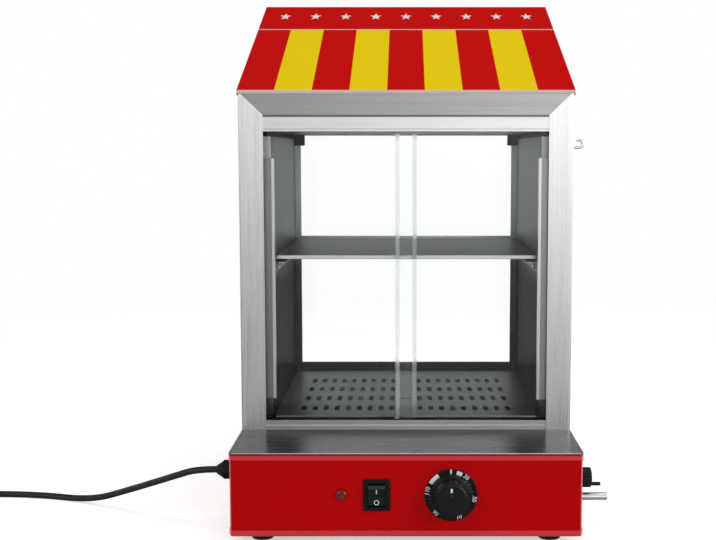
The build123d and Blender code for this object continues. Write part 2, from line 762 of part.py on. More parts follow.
# Drain tap: a small brass body inside the base. A pipe brings the water to its back,
# the spout leaves below, and the black handle turns its spindle above.
tap_x = wall_side - sheet - 18
with BuildPart() as drain_tap:
    with BuildSketch(Plane.XY.offset(drain_pipe_z - 9)):
        with Locations((tap_x, drain_y)):
            Circle(11)
    extrude(amount=drain_knob_z - drain_pipe_z + 19)
    fillet(drain_tap.edges().group_by(Axis.Z)[0], 2)
    fillet(drain_tap.edges().group_by(Axis.Z)[-1], 2)
    with BuildSketch(Plane.YZ.offset(tap_x)):
        with Locations((drain_y, drain_knob_z)):
            Circle(7)
        with Locations((drain_y, drain_pipe_z)):
            Circle(7)
    extrude(amount=wall_side - sheet - tap_x)
    with BuildSketch(Plane.YZ.offset(tap_x)):
        with Locations((drain_y, drain_inlet_z)):
            Circle(8)
    extrude(amount=-16)
    # Bores for the spindle, the spout and the pipe.
    with BuildSketch(Plane.YZ.offset(tap_x + 2)):
        with Locations((drain_y, drain_knob_z)):
            Circle(spindle_d / 2 + shaft_play)
        with Locations((drain_y, drain_pipe_z)):
            Circle(drain_collar_d / 2)
    extrude(amount=30, mode=Mode.SUBTRACT)
    with BuildSketch(Plane.YZ.offset(tap_x - 10)):
        with Locations((drain_y, drain_inlet_z)):
            Circle(pipe_d / 2)
    extrude(amount=-10, mode=Mode.SUBTRACT)
write(drain_tap, "drain_tap")

# Pipe from the tank's front wall to the tap.
with BuildPart() as drain_pipe:
    with BuildLine() as pipe_path:
        FilletPolyline(
            (drain_inlet_x, inner_front + 8, drain_inlet_z),
            (drain_inlet_x, drain_y, drain_inlet_z),
            (tap_x - 10, drain_y, drain_inlet_z),
            radius=14,
        )
    pipe_line = pipe_path.wires()[0]
    with BuildSketch(Plane(origin=pipe_line @ 0, z_dir=pipe_line % 0)):
        Circle(pipe_d / 2)
        Circle(pipe_d / 2 - 1, mode=Mode.SUBTRACT)
    sweep(path=pipe_line)
write(drain_pipe, "drain_pipe")

# Spout through the base's side: a collar as far as the handle, then a plain spigot for a
# hose.
spout_end = side + drain_pipe_out
collar_end = spout_end - drain_spigot
with BuildPart() as drain_spout:
    with BuildSketch(Plane.XZ.offset(-drain_y)):
        with BuildLine():
            Polyline(
                (tap_x + 2, drain_pipe_z + drain_bore / 2), (tap_x + 2, drain_pipe_z + drain_collar_d / 2),
                (collar_end, drain_pipe_z + drain_collar_d / 2), (collar_end, drain_pipe_z + drain_pipe_d / 2),
                (spout_end - 0.6, drain_pipe_z + drain_pipe_d / 2),
                (spout_end, drain_pipe_z + drain_pipe_d / 2 - 0.6),
                (spout_end, drain_pipe_z + drain_bore / 2), close=True,
            )
        make_face()
    revolve(axis=Axis((0, drain_y, drain_pipe_z), (1, 0, 0)))
write(drain_spout, "drain_spout")

# Spindle, and the black handle with its short crank pin.
knob_in = side + 1.0
knob_out = side + drain_knob_out
with BuildPart() as drain_spindle:
    with BuildSketch(Plane.YZ.offset(tap_x + 2.5)):
        with Locations((drain_y, drain_knob_z)):
            Circle(spindle_d / 2)
    extrude(amount=knob_out - 6 - tap_x - 2.5)
write(drain_spindle, "drain_spindle")

with BuildPart() as drain_handle:
    with BuildSketch(Plane.XZ.offset(-drain_y)):
        with BuildLine():
            l1 = Line((knob_in, drain_knob_z), (knob_in, drain_knob_z + drain_knob_d / 2 + 1.5))
            l2 = Line(l1 @ 1, (knob_in + 4, drain_knob_z + drain_knob_d / 2 + 1.5))
            l3 = Line(l2 @ 1, (knob_in + 5, drain_knob_z + drain_knob_d / 2))
            l4 = Line(l3 @ 1, (knob_out - 2, drain_knob_z + drain_knob_d / 2))
            l5 = RadiusArc(l4 @ 1, (knob_out, drain_knob_z + drain_knob_d / 2 - 2), 2)
            l6 = Line(l5 @ 1, (knob_out, drain_knob_z))
            Line(l6 @ 1, l1 @ 0)
        make_face()
    revolve(axis=Axis((0, drain_y, drain_knob_z), (1, 0, 0)))
    with BuildSketch(Plane.YZ.offset(knob_in)):
        with Locations((drain_y, drain_knob_z)):
            Circle(spindle_d / 2)
    extrude(amount=knob_out - 6 - knob_in, mode=Mode.SUBTRACT)
    with BuildSketch(Plane.YZ.offset(knob_in + 6)):
        with Locations((drain_y, drain_knob_z)):
            with PolarLocations(drain_knob_d / 2 + 0.4, 12, start_angle=15):
                Circle(1.3)
    extrude(amount=20, mode=Mode.SUBTRACT)
    # Crank pin moulded on the handle's face.
    with BuildSketch(Plane.YZ.offset(knob_out)):
        with Locations((drain_y, drain_knob_z - 7)):
            Circle(2)
    extrude(amount=10)
    fillet(drain_handle.faces().sort_by(Axis.X)[-1].edges(), 0.8)
write(drain_handle, "drain_handle")

# ==== Cabinet casing ====

# Side panel: wall with folded front, back, roof and bottom flanges. The front flange's
# top is mitred against the roof sheet's front flange.
rear_flange = 18.0
roof_flange = 14.0
foot_flange = 8.0
rail_half = side - rail_end_gap
hook_y = cabinet_front + hook_depth
hook_z = eave_z - hook_drop


def side_panel():
    with BuildPart() as panel:
        with BuildSketch(Plane.XY.offset(deck_z)):
            with BuildLine():
                FilletPolyline(
                    (opening_half, cabinet_front), (side, cabinet_front),
                    (side, back - sheet), (side - rear_flange, back - sheet), radius=bend,
                )
                offset(amount=sheet, side=Side.LEFT)
            make_face()
        extrude(amount=ridge_z - deck_z)
        # Roof flange.
        with BuildSketch(Plane.YZ.offset(side - sheet / 2)):
            with BuildLine():
                top, low = roof_line(sheet), roof_line(2 * sheet)
                inset = sheet + seam
                Polyline(
                    (top[0][0] + inset, top[0][1] + inset * tan(slope)), top[1],
                    (back - sheet, top[2][1]), (back - sheet, low[2][1]), low[1],
                    (low[0][0] + inset, low[0][1] + inset * tan(slope)), close=True,
                )
            make_face()
        extrude(amount=-roof_flange)
        # Everything outside the roof sheet's lower face goes, its bends included.
        with BuildSketch(Plane.YZ.offset(side + 1)):
            with BuildLine():
                eave, ridge, rear = roof_line(sheet)
                edge = FilletPolyline(
                    (cabinet_front + sheet, eave_z - cover_front_hem),
                    (cabinet_front + sheet, eave[1] + sheet * tan(slope)), ridge,
                    (back - sheet, ridge_z - sheet), (back - sheet, ridge_z - roof_tail),
                    radius=bend - sheet,
                )
                Polyline(
                    edge @ 1, (back + 10, ridge_z - roof_tail), (back + 10, ridge_z + 10),
                    (cabinet_front - 10, ridge_z + 10), (cabinet_front - 10, eave_z - cover_front_hem),
                    edge @ 0,
                )
            make_face()
        extrude(amount=-2 * side, mode=Mode.SUBTRACT)
        # Bottom flange on the deck.
        with BuildSketch(Plane.XY.offset(deck_z)):
            with Locations((side - foot_flange / 2 - sheet / 2, middle_y)):
                Rectangle(foot_flange, back - cabinet_front - 3 * sheet)
        extrude(amount=sheet)
        # Mitre of the front flange.
        with BuildSketch(Plane.XZ.offset(-cabinet_front + 1)):
            with BuildLine():
                Polyline(
                    (opening_half, eave_z - header_height), (side, eave_z),
                    (side, eave_z + 20), (opening_half - 5, eave_z + 20),
                    (opening_half - 5, eave_z - header_height), close=True,
                )
            make_face()
        extrude(amount=-1 - sheet, mode=Mode.SUBTRACT)
        # Screw holes in the rear flange.
        with BuildSketch(Plane.XZ.offset(-back + 2 * sheet)):
            with Locations(*[(back_panel_screw_x, z) for z in back_panel_screw_z]):
                Circle(screw_d / 2 + shaft_play)
        extrude(amount=-3 * sheet, mode=Mode.SUBTRACT)
    return panel


back_panel_top = ridge_z - roof_tail - seam
back_panel_screw_x = side - rear_flange / 2 - sheet
back_panel_screw_z = [deck_z + 20 + k * (back_panel_top - deck_z - 40) / 3 for k in range(4)]
side_panel_right, side_panel_left = mirrored(side_panel)
# The utensil hook's rivet goes through the right-hand wall only.
with BuildPart() as side_panel_right_drilled:
    add(side_panel_right.part)
    with BuildSketch(Plane.YZ.offset(side - 2 * sheet)):
        with Locations((hook_y, hook_z)):
            Circle(hook_wire / 2 + shaft_play)
    extrude(amount=3 * sheet, mode=Mode.SUBTRACT)
write(side_panel_right_drilled, "side_panel_right")
write(side_panel_left, "side_panel_left")

# Roof sheet: bare steel, folded down at the front into the mitred header and at the back.
with BuildPart() as roof_sheet:
    with BuildSketch(Plane.YZ):
        with BuildLine():
            eave, ridge, rear = roof_line(0)
            FilletPolyline(
                (cabinet_front, eave_z - header_height), eave, ridge, rear,
                (back, ridge_z - roof_tail), radius=bend,
            )
            offset(amount=sheet, side=Side.RIGHT)
        make_face()
    extrude(amount=side, both=True)
    # Mitred ends of the header.
    for hand in (-1, 1):
        with BuildSketch(Plane.XZ.offset(-cabinet_front + 1)):
            with BuildLine():
                Polyline(
                    (hand * (opening_half - seam), eave_z - header_height - 1),
                    (hand * (opening_half - seam), eave_z - header_height),
                    (hand * (side - seam), eave_z), (hand * (side + 1), eave_z),
                    (hand * (side + 1), eave_z - header_height - 1), close=True,
                )
            make_face()
        extrude(amount=-1 - sheet, mode=Mode.SUBTRACT)
write(roof_sheet, "roof_sheet")

# Painted roof cover: a thin folded sheet over the roof, with narrow hems all round.
cover_half = side + cover_gap
cover_out = cover_gap + cover_sheet
cover_bend = bend + cover_out
cover_eave, cover_ridge, cover_rear = roof_line(-cover_out)
cover_points = [
    (cabinet_front - cover_out, eave_z - cover_front_hem),
    (cabinet_front - cover_out, cover_eave[1] - cover_out * tan(slope)),
    cover_ridge,
    (back + cover_out, cover_rear[1]),
    (back + cover_out, ridge_z - cover_side_hem),
]
with BuildPart() as roof_cover:
    with BuildSketch(Plane.YZ):
        with BuildLine():
            FilletPolyline(*cover_points, radius=cover_bend)
            offset(amount=cover_sheet, side=Side.RIGHT)
        make_face()
    extrude(amount=cover_half + cover_sheet, both=True)
    # Side hems.
    for hand in (-1, 1):
        with BuildSketch(Plane.YZ.offset(hand * cover_half)):
            with BuildLine():
                edge = FilletPolyline(*cover_points, radius=cover_bend)
                hem_eave, hem_ridge = roof_line(cover_side_hem)[:2]
                hem_front = (cabinet_front + sheet, hem_eave[1] + sheet * tan(slope))
                Polyline(edge @ 1, hem_ridge, hem_front, edge @ 0)
            make_face()
        extrude(amount=hand * cover_sheet)
write(roof_cover, "roof_cover")

# Outer back panel with the rear window opening.
window_half = 136.0
window_low = deck_z + 20.0
window_high = liner_top - 1
with BuildPart() as back_panel:
    with BuildSketch(Plane.XZ.offset(-back)):
        with Locations((0, (deck_z + back_panel_top) / 2)):
            Rectangle(width - 2 * seam, back_panel_top - deck_z)
        with Locations((0, (window_low + window_high) / 2)):
            RectangleRounded(
                2 * window_half + 4, window_high - window_low + 4, 3, mode=Mode.SUBTRACT
            )
        for x in (-back_panel_screw_x, back_panel_screw_x):
            with Locations(*[(x, z) for z in back_panel_screw_z]):
                Circle(screw_d / 2 + hole_play, mode=Mode.SUBTRACT)
        with Locations((0, ridge_z - 60)):
            with GridLocations(18, 0, 9, 1):
                SlotOverall(34, vent_width, rotation=90, mode=Mode.SUBTRACT)
    extrude(amount=sheet)
write(back_panel, "back_panel")

# Screws of the back panel and of the base's back plate.
rear_plane = Plane(origin=(0, back, 0), x_dir=(-1, 0, 0), z_dir=(0, 1, 0))
rear_screws = pan_head(
    [(x, z, 0) for x in (-back_panel_screw_x, back_panel_screw_x) for z in back_panel_screw_z]
    + [(x, z, 0) for x in (-back_screw_x, back_screw_x) for z in base_screw_z],
    rear_screw_length, rear_plane,
)
write(rear_screws, "rear_screws")

# ==== Door rails and runners ====

rail_y = cabinet_front + sheet
runner_front = rail_y + rail_sheet
runner_back = rail_y + rail_pocket
groove = glass + 2 * glass_play
rib = (runner_back - runner_front - 2 * groove) / 3
front_pane_y = runner_front + rib + groove / 2
rear_pane_y = front_pane_y + rib + groove
opening_low = deck_z + bottom_rail_height
opening_high = eave_z - header_height - top_rail_height
rail_top = opening_high + top_rail_height + 3


# Lower rail: an aluminium angle on the deck, with a small step along its face.
with BuildPart() as bottom_rail:
    with BuildSketch(Plane.YZ):
        with BuildLine():
            Polyline(
                (rail_y, deck_z), (rail_y, opening_low - 5.5), (rail_y + 0.6, opening_low - 4.9),
                (rail_y + 0.6, opening_low), (runner_front, opening_low),
                (runner_front, deck_z + rail_sheet), (runner_back, deck_z + rail_sheet),
                (runner_back, deck_z), close=True,
            )
        make_face()
    extrude(amount=rail_half, both=True)
write(bottom_rail, "bottom_rail")

# Upper rail: the same angle upside down, closed at its top by a web.
with BuildPart() as top_rail:
    with BuildSketch(Plane.YZ):
        with BuildLine():
            Polyline(
                (rail_y + 0.6, opening_high), (rail_y + 0.6, opening_high + 2.2),
                (rail_y, opening_high + 2.8), (rail_y, rail_top), (runner_back, rail_top),
                (runner_back, rail_top - rail_sheet), (runner_front, rail_top - rail_sheet),
                (runner_front, opening_high), close=True,
            )
        make_face()
    extrude(amount=rail_half, both=True)
write(top_rail, "top_rail")

# Black plastic runners with two grooves each.
lower_runner_z = deck_z + rail_sheet
groove_floor = lower_runner_z + runner_floor
with BuildPart() as bottom_runner:
    with BuildSketch(Plane.YZ):
        with Locations(((runner_front + runner_back) / 2, lower_runner_z)):
            Rectangle(
                runner_back - runner_front, runner_floor + bottom_groove, align=(Align.CENTER, Align.MIN)
            )
        with Locations((front_pane_y, groove_floor), (rear_pane_y, groove_floor)):
            Rectangle(groove, 2 * bottom_groove, align=(Align.CENTER, Align.MIN), mode=Mode.SUBTRACT)
    extrude(amount=rail_half, both=True)
write(bottom_runner, "bottom_runner")

upper_runner_z = rail_top - rail_sheet
groove_roof = upper_runner_z - 2
with BuildPart() as top_runner:
    with BuildSketch(Plane.YZ):
        with Locations(((runner_front + runner_back) / 2, upper_runner_z)):
            Rectangle(
                runner_back - runner_front, upper_runner_z - groove_roof + top_groove,
                align=(Align.CENTER, Align.MAX),
            )
        with Locations((front_pane_y, groove_roof), (rear_pane_y, groove_roof)):
            Rectangle(groove, 2 * top_groove, align=(Align.CENTER, Align.MAX), mode=Mode.SUBTRACT)
    extrude(amount=rail_half, both=True)
write(top_runner, "top_runner")

# ==== Sliding doors ====

pane_bottom = groove_floor + door_lift
pane_top = groove_roof - door_top_free
pane_outer = opening_half + door_hidden
pane_inner = door_overlap / 2
pull_z = (opening_low + opening_high) / 2 - pull_drop
pull_height = opening_high - opening_low - 2 * pull_end_gap


def door_pane(y, hand):
    """Tempered pane with ground edges, in the track at y, on the side that hand gives."""
    with BuildPart() as pane:
        with BuildSketch(Plane.XZ.offset(-y - glass / 2)):
            with Locations((hand * (pane_outer - pane_inner) / 2, (pane_bottom + pane_top) / 2)):
                RectangleRounded(pane_outer + pane_inner, pane_top - pane_bottom, 2)
        extrude(amount=glass)
        chamfer(pane.faces().sort_by(Axis.Y)[0].edges() + pane.faces().sort_by(Axis.Y)[-1].edges(), 0.4)
    return pane


def door_pull(y, hand):
    """Aluminium strip clipped over the pane's outer edge, with a rib to pull on."""
    edge = pane_outer + 1.0
    face = y - glass / 2
    rear = y + glass / 2
    with BuildPart() as pull:
        with BuildSketch(Plane.XY.offset(pull_z - pull_height / 2)):
            with BuildLine():
                Polyline(
                    (hand * edge, face - pull_wall), (hand * (edge - pull_width + pull_rib_width), face - pull_wall),
                    (hand * (edge - pull_width + pull_rib_width), face - pull_wall - pull_rib),
                    (hand * (edge - pull_width), face - pull_wall - pull_rib),
                    (hand * (edge - pull_width), face), (hand * pane_outer, face),
                    (hand * pane_outer, rear), (hand * (edge - pull_width), rear),
                    (hand * (edge - pull_width), rear + pull_wall), (hand * edge, rear + pull_wall),
                    close=True,
                )
            make_face()
        extrude(amount=pull_height)
    return pull


write(door_pane(rear_pane_y, -1), "door_left")
write(door_pull(rear_pane_y, -1), "pull_left")
write(door_pane(front_pane_y, 1), "door_right")
write(door_pull(front_pane_y, 1), "pull_right")

# ==== Liner ====

liner_front = runner_back
liner_back_y = back - sheet - wall_cavity
support_y0 = cabinet_front + shelf_front_gap + 10
support_y1 = liner_back_y - 10
support_screw_y = (support_y0 + 25, support_y1 - 25)
shelf_z = deck_z + shelf_height
ledge_z = shelf_z - shelf_skirt


def liner_side():
    """Side wall of the chamber, folded outwards at the front to close the hollow wall."""
    with BuildPart() as liner:
        with BuildSketch(Plane.XY.offset(deck_z)):
            with BuildLine():
                FilletPolyline(
                    (rail_half, liner_front), (liner_half, liner_front), (liner_half, liner_back_y + sheet),
                    radius=bend / 2,
                )
                offset(amount=sheet, side=Side.RIGHT)
            make_face()
        extrude(amount=liner_top - deck_z)
        with BuildSketch(Plane.YZ.offset(liner_half - 1)):
            with Locations(*[(y, ledge_z - ledge / 2) for y in support_screw_y]):
                Circle(screw_d / 2 + shaft_play)
        extrude(amount=3, mode=Mode.SUBTRACT)
    return liner


liner_right, liner_left = mirrored(liner_side)
write(liner_right, "liner_right")
write(liner_left, "liner_left")

# Back wall of the chamber, with a collar round the window.
collar_depth = 5.0
with BuildPart() as liner_back:
    with BuildSketch(Plane.XZ.offset(-liner_back_y - sheet)):
        with Locations((0, (deck_z + liner_top) / 2)):
            Rectangle(2 * liner_half, liner_top - deck_z)
        with Locations((0, (window_low + window_high) / 2)):
            Rectangle(2 * window_half, window_high - window_low, mode=Mode.SUBTRACT)
    extrude(amount=sheet)
    with BuildSketch(Plane.XZ.offset(-liner_back_y - sheet)):
        with Locations((0, (window_low + window_high) / 2)):
            Rectangle(2 * (window_half + sheet), window_high - window_low + 2 * sheet)
            Rectangle(2 * window_half, window_high - window_low, mode=Mode.SUBTRACT)
    extrude(amount=-collar_depth)
write(liner_back, "liner_back")

# Ceiling, folded up at the front to meet the upper runner.
with BuildPart() as liner_ceiling:
    with BuildSketch(Plane.YZ):
        with BuildLine():
            Polyline(
                (liner_front, liner_top), (liner_back_y + sheet, liner_top),
                (liner_back_y + sheet, liner_top + sheet), (liner_front + sheet, liner_top + sheet),
                (liner_front + sheet, rail_top), (liner_front, rail_top), close=True,
            )
        make_face()
    extrude(amount=rail_half, both=True)
write(liner_ceiling, "liner_ceiling")

# Rear window: a fixed pane in a black rubber channel between the liner and the back panel.
rear_pane_front = liner_back_y + sheet + collar_depth + 1
with BuildPart() as rear_pane:
    with BuildSketch(Plane.XZ.offset(-rear_pane_front - glass)):
        with Locations((0, (window_low + window_high) / 2)):
            Rectangle(2 * window_half + 10, window_high - window_low + 10)
    extrude(amount=glass)
write(rear_pane, "rear_pane")

gasket_front = liner_back_y + sheet + collar_depth
with BuildPart() as rear_gasket:
    with BuildSketch(Plane.XZ.offset(-back + sheet)):
        with Locations((0, (window_low + window_high) / 2)):
            Rectangle(2 * window_half + 16, window_high - window_low + 16)
            Rectangle(2 * window_half + 1, window_high - window_low + 1, mode=Mode.SUBTRACT)
    extrude(amount=back - sheet - gasket_front)
    with BuildSketch(Plane.XZ.offset(-rear_pane_front - glass - 0.05)):
        with Locations((0, (window_low + window_high) / 2)):
            Rectangle(2 * window_half + 10.2, window_high - window_low + 10.2)
    extrude(amount=glass + 0.1, mode=Mode.SUBTRACT)
write(rear_gasket, "rear_gasket")

# Black clips in the window's two upper corners.
with BuildPart() as window_clips:
    for hand in (-1, 1):
        with BuildSketch(Plane.XZ.offset(-liner_back_y)):
            with Locations((hand * (liner_half - 6.5), liner_top - 7)):
                RectangleRounded(13, 14, 1.5)
        extrude(amount=9)
write(window_clips, "window_clips")

# ==== Shelf ====

shelf_front = cabinet_front + shelf_front_gap
shelf_back = liner_back_y - side_clearance
shelf_half = rim_half
with BuildPart() as shelf:
    with BuildSketch(Plane.XZ.offset(-shelf_back)):
        with BuildLine():
            FilletPolyline(
                (-shelf_half, ledge_z), (-shelf_half, shelf_z), (shelf_half, shelf_z), (shelf_half, ledge_z),
                radius=bend,
            )
            offset(amount=sheet, side=Side.RIGHT)
        make_face()
    extrude(amount=shelf_back - shelf_front)
    # Rolled front lip between the skirts, and a low upstand at the back.
    with BuildSketch(Plane.YZ):
        with Locations((shelf_front + sheet, shelf_z - shelf_lip / 2)):
            RectangleRounded(2 * sheet, shelf_lip, 0.9)
        with Locations((shelf_back - sheet / 2, shelf_z + 1)):
            Rectangle(sheet, 2 + 2 * sheet)
    extrude(amount=shelf_half - bend, both=True)
write(shelf, "shelf")

# Angle supports on the side walls, two screws each.
with BuildPart() as shelf_supports:
    for hand in (-1, 1):
        with BuildSketch(Plane.XZ.offset(-support_y1)):
            with BuildLine():
                Polyline(
                    (hand * liner_half, ledge_z), (hand * (liner_half - ledge), ledge_z),
                    (hand * (liner_half - ledge), ledge_z - sheet),
                    (hand * (liner_half - sheet), ledge_z - sheet),
                    (hand * (liner_half - sheet), ledge_z - ledge), (hand * liner_half, ledge_z - ledge),
                    close=True,
                )
            make_face()
        extrude(amount=support_y1 - support_y0)
    with BuildSketch(Plane.YZ):
        with Locations(*[(y, ledge_z - ledge / 2) for y in support_screw_y]):
            Circle(screw_d / 2 + hole_play)
    extrude(amount=side, both=True, mode=Mode.SUBTRACT)
write(shelf_supports, "shelf_supports")

screw_seat = Plane(
    origin=(liner_half - sheet, 0, ledge_z - ledge / 2), x_dir=(0, 1, 0), z_dir=(-1, 0, 0)
)
right_screws = pan_head([(y, 0, 0) for y in support_screw_y], 7, screw_seat)
with BuildPart() as support_screws:
    add(right_screws.part)
    mirror(about=Plane.YZ)
write(support_screws, "support_screws")

# ==== Perforated floor ====

floor_z = deck_z + floor_height
with BuildPart() as chamber_floor:
    with BuildSketch(Plane.XY.offset(floor_z - sheet)):
        with Locations((0, tank_mid)):
            RectangleRounded(2 * rim_half, tank_back - tank_front, bend)
        for row in range(slot_rows):
            y = cabinet_front + slot_first_row + row * slot_row_pitch
            for column in range(slot_columns):
                x = slot_first + column * slot_pitch
                with Locations((-x, y), (x, y)):
                    SlotOverall(slot_length, slot_width, rotation=90, mode=Mode.SUBTRACT)
        with Locations((0, cabinet_front + slot_first_row + slot_row_pitch)):
            SlotOverall(lift_slot_length, lift_slot_width, mode=Mode.SUBTRACT)
    extrude(amount=sheet)
    # Skirt that stands on the tank's rim.
    with BuildSketch(Plane.XY.offset(floor_z - sheet)):
        with Locations((0, tank_mid)):
            RectangleRounded(2 * rim_half, tank_back - tank_front, bend)
            RectangleRounded(
                2 * (rim_half - sheet), tank_back - tank_front - 2 * sheet, bend - sheet, mode=Mode.SUBTRACT
            )
    extrude(amount=-(floor_height - 2 * sheet))
write(chamber_floor, "chamber_floor")

# ==== Utensil hook ====

# Steel wire hook: a round foot on the wall, a stem, and an end that curls up.
hook_out = 14.0
curl = 4.0
with BuildPart() as utensil_hook:
    with BuildLine() as hook_path:
        l1 = Line((side - sheet, hook_y, hook_z), (side + hook_out, hook_y, hook_z))
        l2 = TangentArc(l1 @ 1, (side + hook_out, hook_y, hook_z + 2 * curl), tangent=(1, 0, 0))
        Line(l2 @ 1, (side + hook_out - 3, hook_y, hook_z + 2 * curl))
    hook_line = hook_path.wires()[0]
    with BuildSketch(Plane(origin=hook_line @ 0, z_dir=hook_line % 0)):
        Circle(hook_wire / 2)
    sweep(path=hook_line)
    with BuildSketch(Plane.YZ.offset(side)):
        with Locations((hook_y, hook_z)):
            Circle(5)
    extrude(amount=1.6)
write(utensil_hook, "utensil_hook")

# ==== Mains lead ====


def biarc(p0, t0, p1, t1):
    """Two arcs from p0 to p1 that leave along t0 and arrive along t1."""
    chord = p1 - p0
    both = t0 + t1
    spread = 2 * (1 - t0.dot(t1))
    reach = (sqrt(chord.dot(both) ** 2 + spread * chord.dot(chord)) - chord.dot(both)) / spread
    joint = (p0 + p1 + (t0 - t1) * reach) * 0.5
    along = (p1 - t1 * reach) - (p0 + t0 * reach)
    TangentArc(p0, joint, tangent=t0)
    TangentArc(joint, p1, tangent=along)


def coil_point(turn):
    """Centre line of the coil, this many turns after its start at the ring's back.

    It spirals in on the table, climbs a layer in the half turn where it reverses, and
    spirals out on top.
    """
    reverse = coil_turns / 2
    r = coil_inner + coil_pitch * abs(turn - reverse)
    climb = min(max((turn - reverse) / 0.5 + 0.5, 0), 1)
    angle = pi / 2 + 2 * pi * turn
    return Vector(coil_x + r * cos(angle), coil_y + r * sin(angle), cord_r + coil_pitch * climb)


def coil_heading(turn):
    """Direction of the coil's centre line, from two points close by."""
    near = 1e-4
    return (coil_point(turn + near) - coil_point(turn - near)).normalized()


# Free stretch: straight out of the gland, down to the table and along it to the coil.
cord_r = cord_d / 2
coil_pitch = cord_d + coil_gap
coil_approach = coil_heading(0)
coil_entry = coil_point(0) - coil_approach * cord_d
route = [
    Vector(-wall_side - gland_length, gland_y, gland_z),
    Vector(-218, gland_y, gland_z),
    Vector(-243, -127.5, 50),
    Vector(-272, -107, 36.5),
    Vector(-304, -87, 22.5),
    Vector(-337, -68.5, 9),
    Vector(-367, -53, cord_r),
    Vector(-399, -42.5, cord_r),
    Vector(-432, -36.5, cord_r),
    coil_entry - coil_approach * 35,
    coil_entry,
]


def corner_radii(points):
    """Radius of each bend: 0.45 of the shorter run, over the tangent of half the turn."""
    radii = []
    for a, b, c in zip(points, points[1:], points[2:]):
        first, second = b - a, c - b
        turn = radians(first.get_angle(second))
        radii.append(0.45 * min(first.length, second.length) / tan(turn / 2))
    return radii


radii = corner_radii(route)
print("cord bends, mm:", [round(value, 1) for value in radii])
with BuildPart() as mains_cord:
    with BuildLine() as cord_path:
        FilletPolyline(*route, radius=radii)
    cord_line = cord_path.wires()[0]
    with BuildSketch(Plane(origin=cord_line @ 0, z_dir=cord_line % 0)):
        Circle(cord_r)
    sweep(path=cord_line)
cord_length = cord_line.length
print(
    "cord length, mm:", round(cord_length, 1),
    "volume over section times length:", round(mains_cord.part.volume / (pi * cord_r**2 * cord_length), 4),
)
write(mains_cord, "mains_cord")

# Put-away coil, one unbroken tube: straight in, round on arcs of an eighth of a turn or
# less, and straight out to the plug.
coil_tail = 12.0
quarters = [step / 4 for step in range(int(4 * coil_turns) + 1)]
plug_axis = coil_heading(coil_turns)
plug_start = coil_point(coil_turns) + plug_axis * coil_tail
with BuildPart() as cord_coil:
    with BuildLine() as coil_path:
        Line(coil_entry, coil_point(0))
        for turn, following in zip(quarters, quarters[1:]):
            biarc(coil_point(turn), coil_heading(turn), coil_point(following), coil_heading(following))
        Line(coil_point(coil_turns), plug_start)
    with BuildSketch(Plane(origin=coil_entry, z_dir=coil_approach)):
        Circle(cord_r)
    coil_line = coil_path.wires()[0]
    sweep(path=coil_line)
coil_length = coil_line.length


def least_gap(wire, spacing=2.0):
    """Smallest distance between stretches of a tube that aren't neighbours."""
    count = int(wire.length / spacing)
    points = [wire @ (step / count) for step in range(count + 1)]
    apart = int(6 * cord_d / spacing)
    return min(
        (points[i] - points[j]).length for i in range(len(points)) for j in range(i + apart, len(points))
    ) - cord_d


print(
    "coil length, mm:", round(coil_length, 1),
    "volume over section times length:", round(cord_coil.part.volume / (pi * cord_r**2 * coil_length), 4),
    "least gap to itself:", round(least_gap(coil_line), 2),
)
print("whole lead, m:", round((cord_length + coil_length) / 1000, 3))
write(cord_coil, "cord_coil")

# Moulded plug on the lead's end, flat on its back with the pins up.
plug_flat = Plane(origin=(plug_start.X, plug_start.Y, 0), x_dir=plug_axis, z_dir=(0, 0, 1))
plug_end = plug_boot + plug_length
with BuildPart() as plug_body:
    with BuildSketch(plug_flat):
        with BuildLine():
            Polyline(
                (plug_boot, -plug_width / 4), (plug_boot + 9, -plug_width / 2), (plug_end, -plug_width / 2),
                (plug_end, plug_width / 2), (plug_boot + 9, plug_width / 2), (plug_boot, plug_width / 4),
                close=True,
            )
        make_face()
        fillet(vertices().group_by(Axis.X)[-1], 9)
        fillet(vertices().filter_by_position(Axis.X, plug_boot - 1, plug_boot + 10), 4)
    extrude(amount=plug_thickness)
    fillet(plug_body.edges().group_by(Axis.Z)[0] + plug_body.edges().group_by(Axis.Z)[-1], 2.5)
    with BuildSketch(Plane(origin=plug_start, z_dir=plug_axis)):
        Circle(cord_r + 1)
    with BuildSketch(Plane(origin=plug_start + plug_axis * (plug_boot + 3), z_dir=plug_axis)):
        Circle(cord_r + 4)
    loft()
write(plug_body, "plug_body")

with BuildPart() as plug_pins:
    with BuildSketch(plug_flat.offset(plug_thickness)):
        with Locations((plug_boot + 12, -pin_spacing / 2), (plug_boot + 12, pin_spacing / 2)):
            Rectangle(4, 6.4)
    extrude(amount=17.7)
    with BuildSketch(plug_flat.offset(plug_thickness)):
        with Locations((plug_boot + 12 + pin_spacing, 0)):
            Rectangle(8, 4)
    extrude(amount=22.7)
write(plug_pins, "plug_pins")

# ==== Wiring inside the base ====

# Terminal block for the lead, on the bottom plate.
block_x, block_y = -118.0, -135.0
block_size = (22.0, 48.0, 18.0)
block_z = plate_z + sheet
poles = [(block_x, block_y + shift) for shift in (-15, 0, 15)]
with BuildPart() as terminal_block:
    with BuildSketch(Plane.XY.offset(block_z)):
        with Locations((block_x, block_y)):
            RectangleRounded(block_size[0], block_size[1], 2)
    extrude(amount=block_size[2])
    with BuildSketch(Plane.YZ.offset(block_x - block_size[0])):
        with Locations(*[(y, block_z + 8) for x, y in poles]):
            Circle(2.4)
    extrude(amount=2 * block_size[0], mode=Mode.SUBTRACT)
    with BuildSketch(Plane.XY.offset(block_z + block_size[2])):
        with Locations(*[(x + shift, y) for x, y in poles for shift in (-5, 5)]):
            Circle(2)
    extrude(amount=-9, mode=Mode.SUBTRACT)
write(terminal_block, "terminal_block")

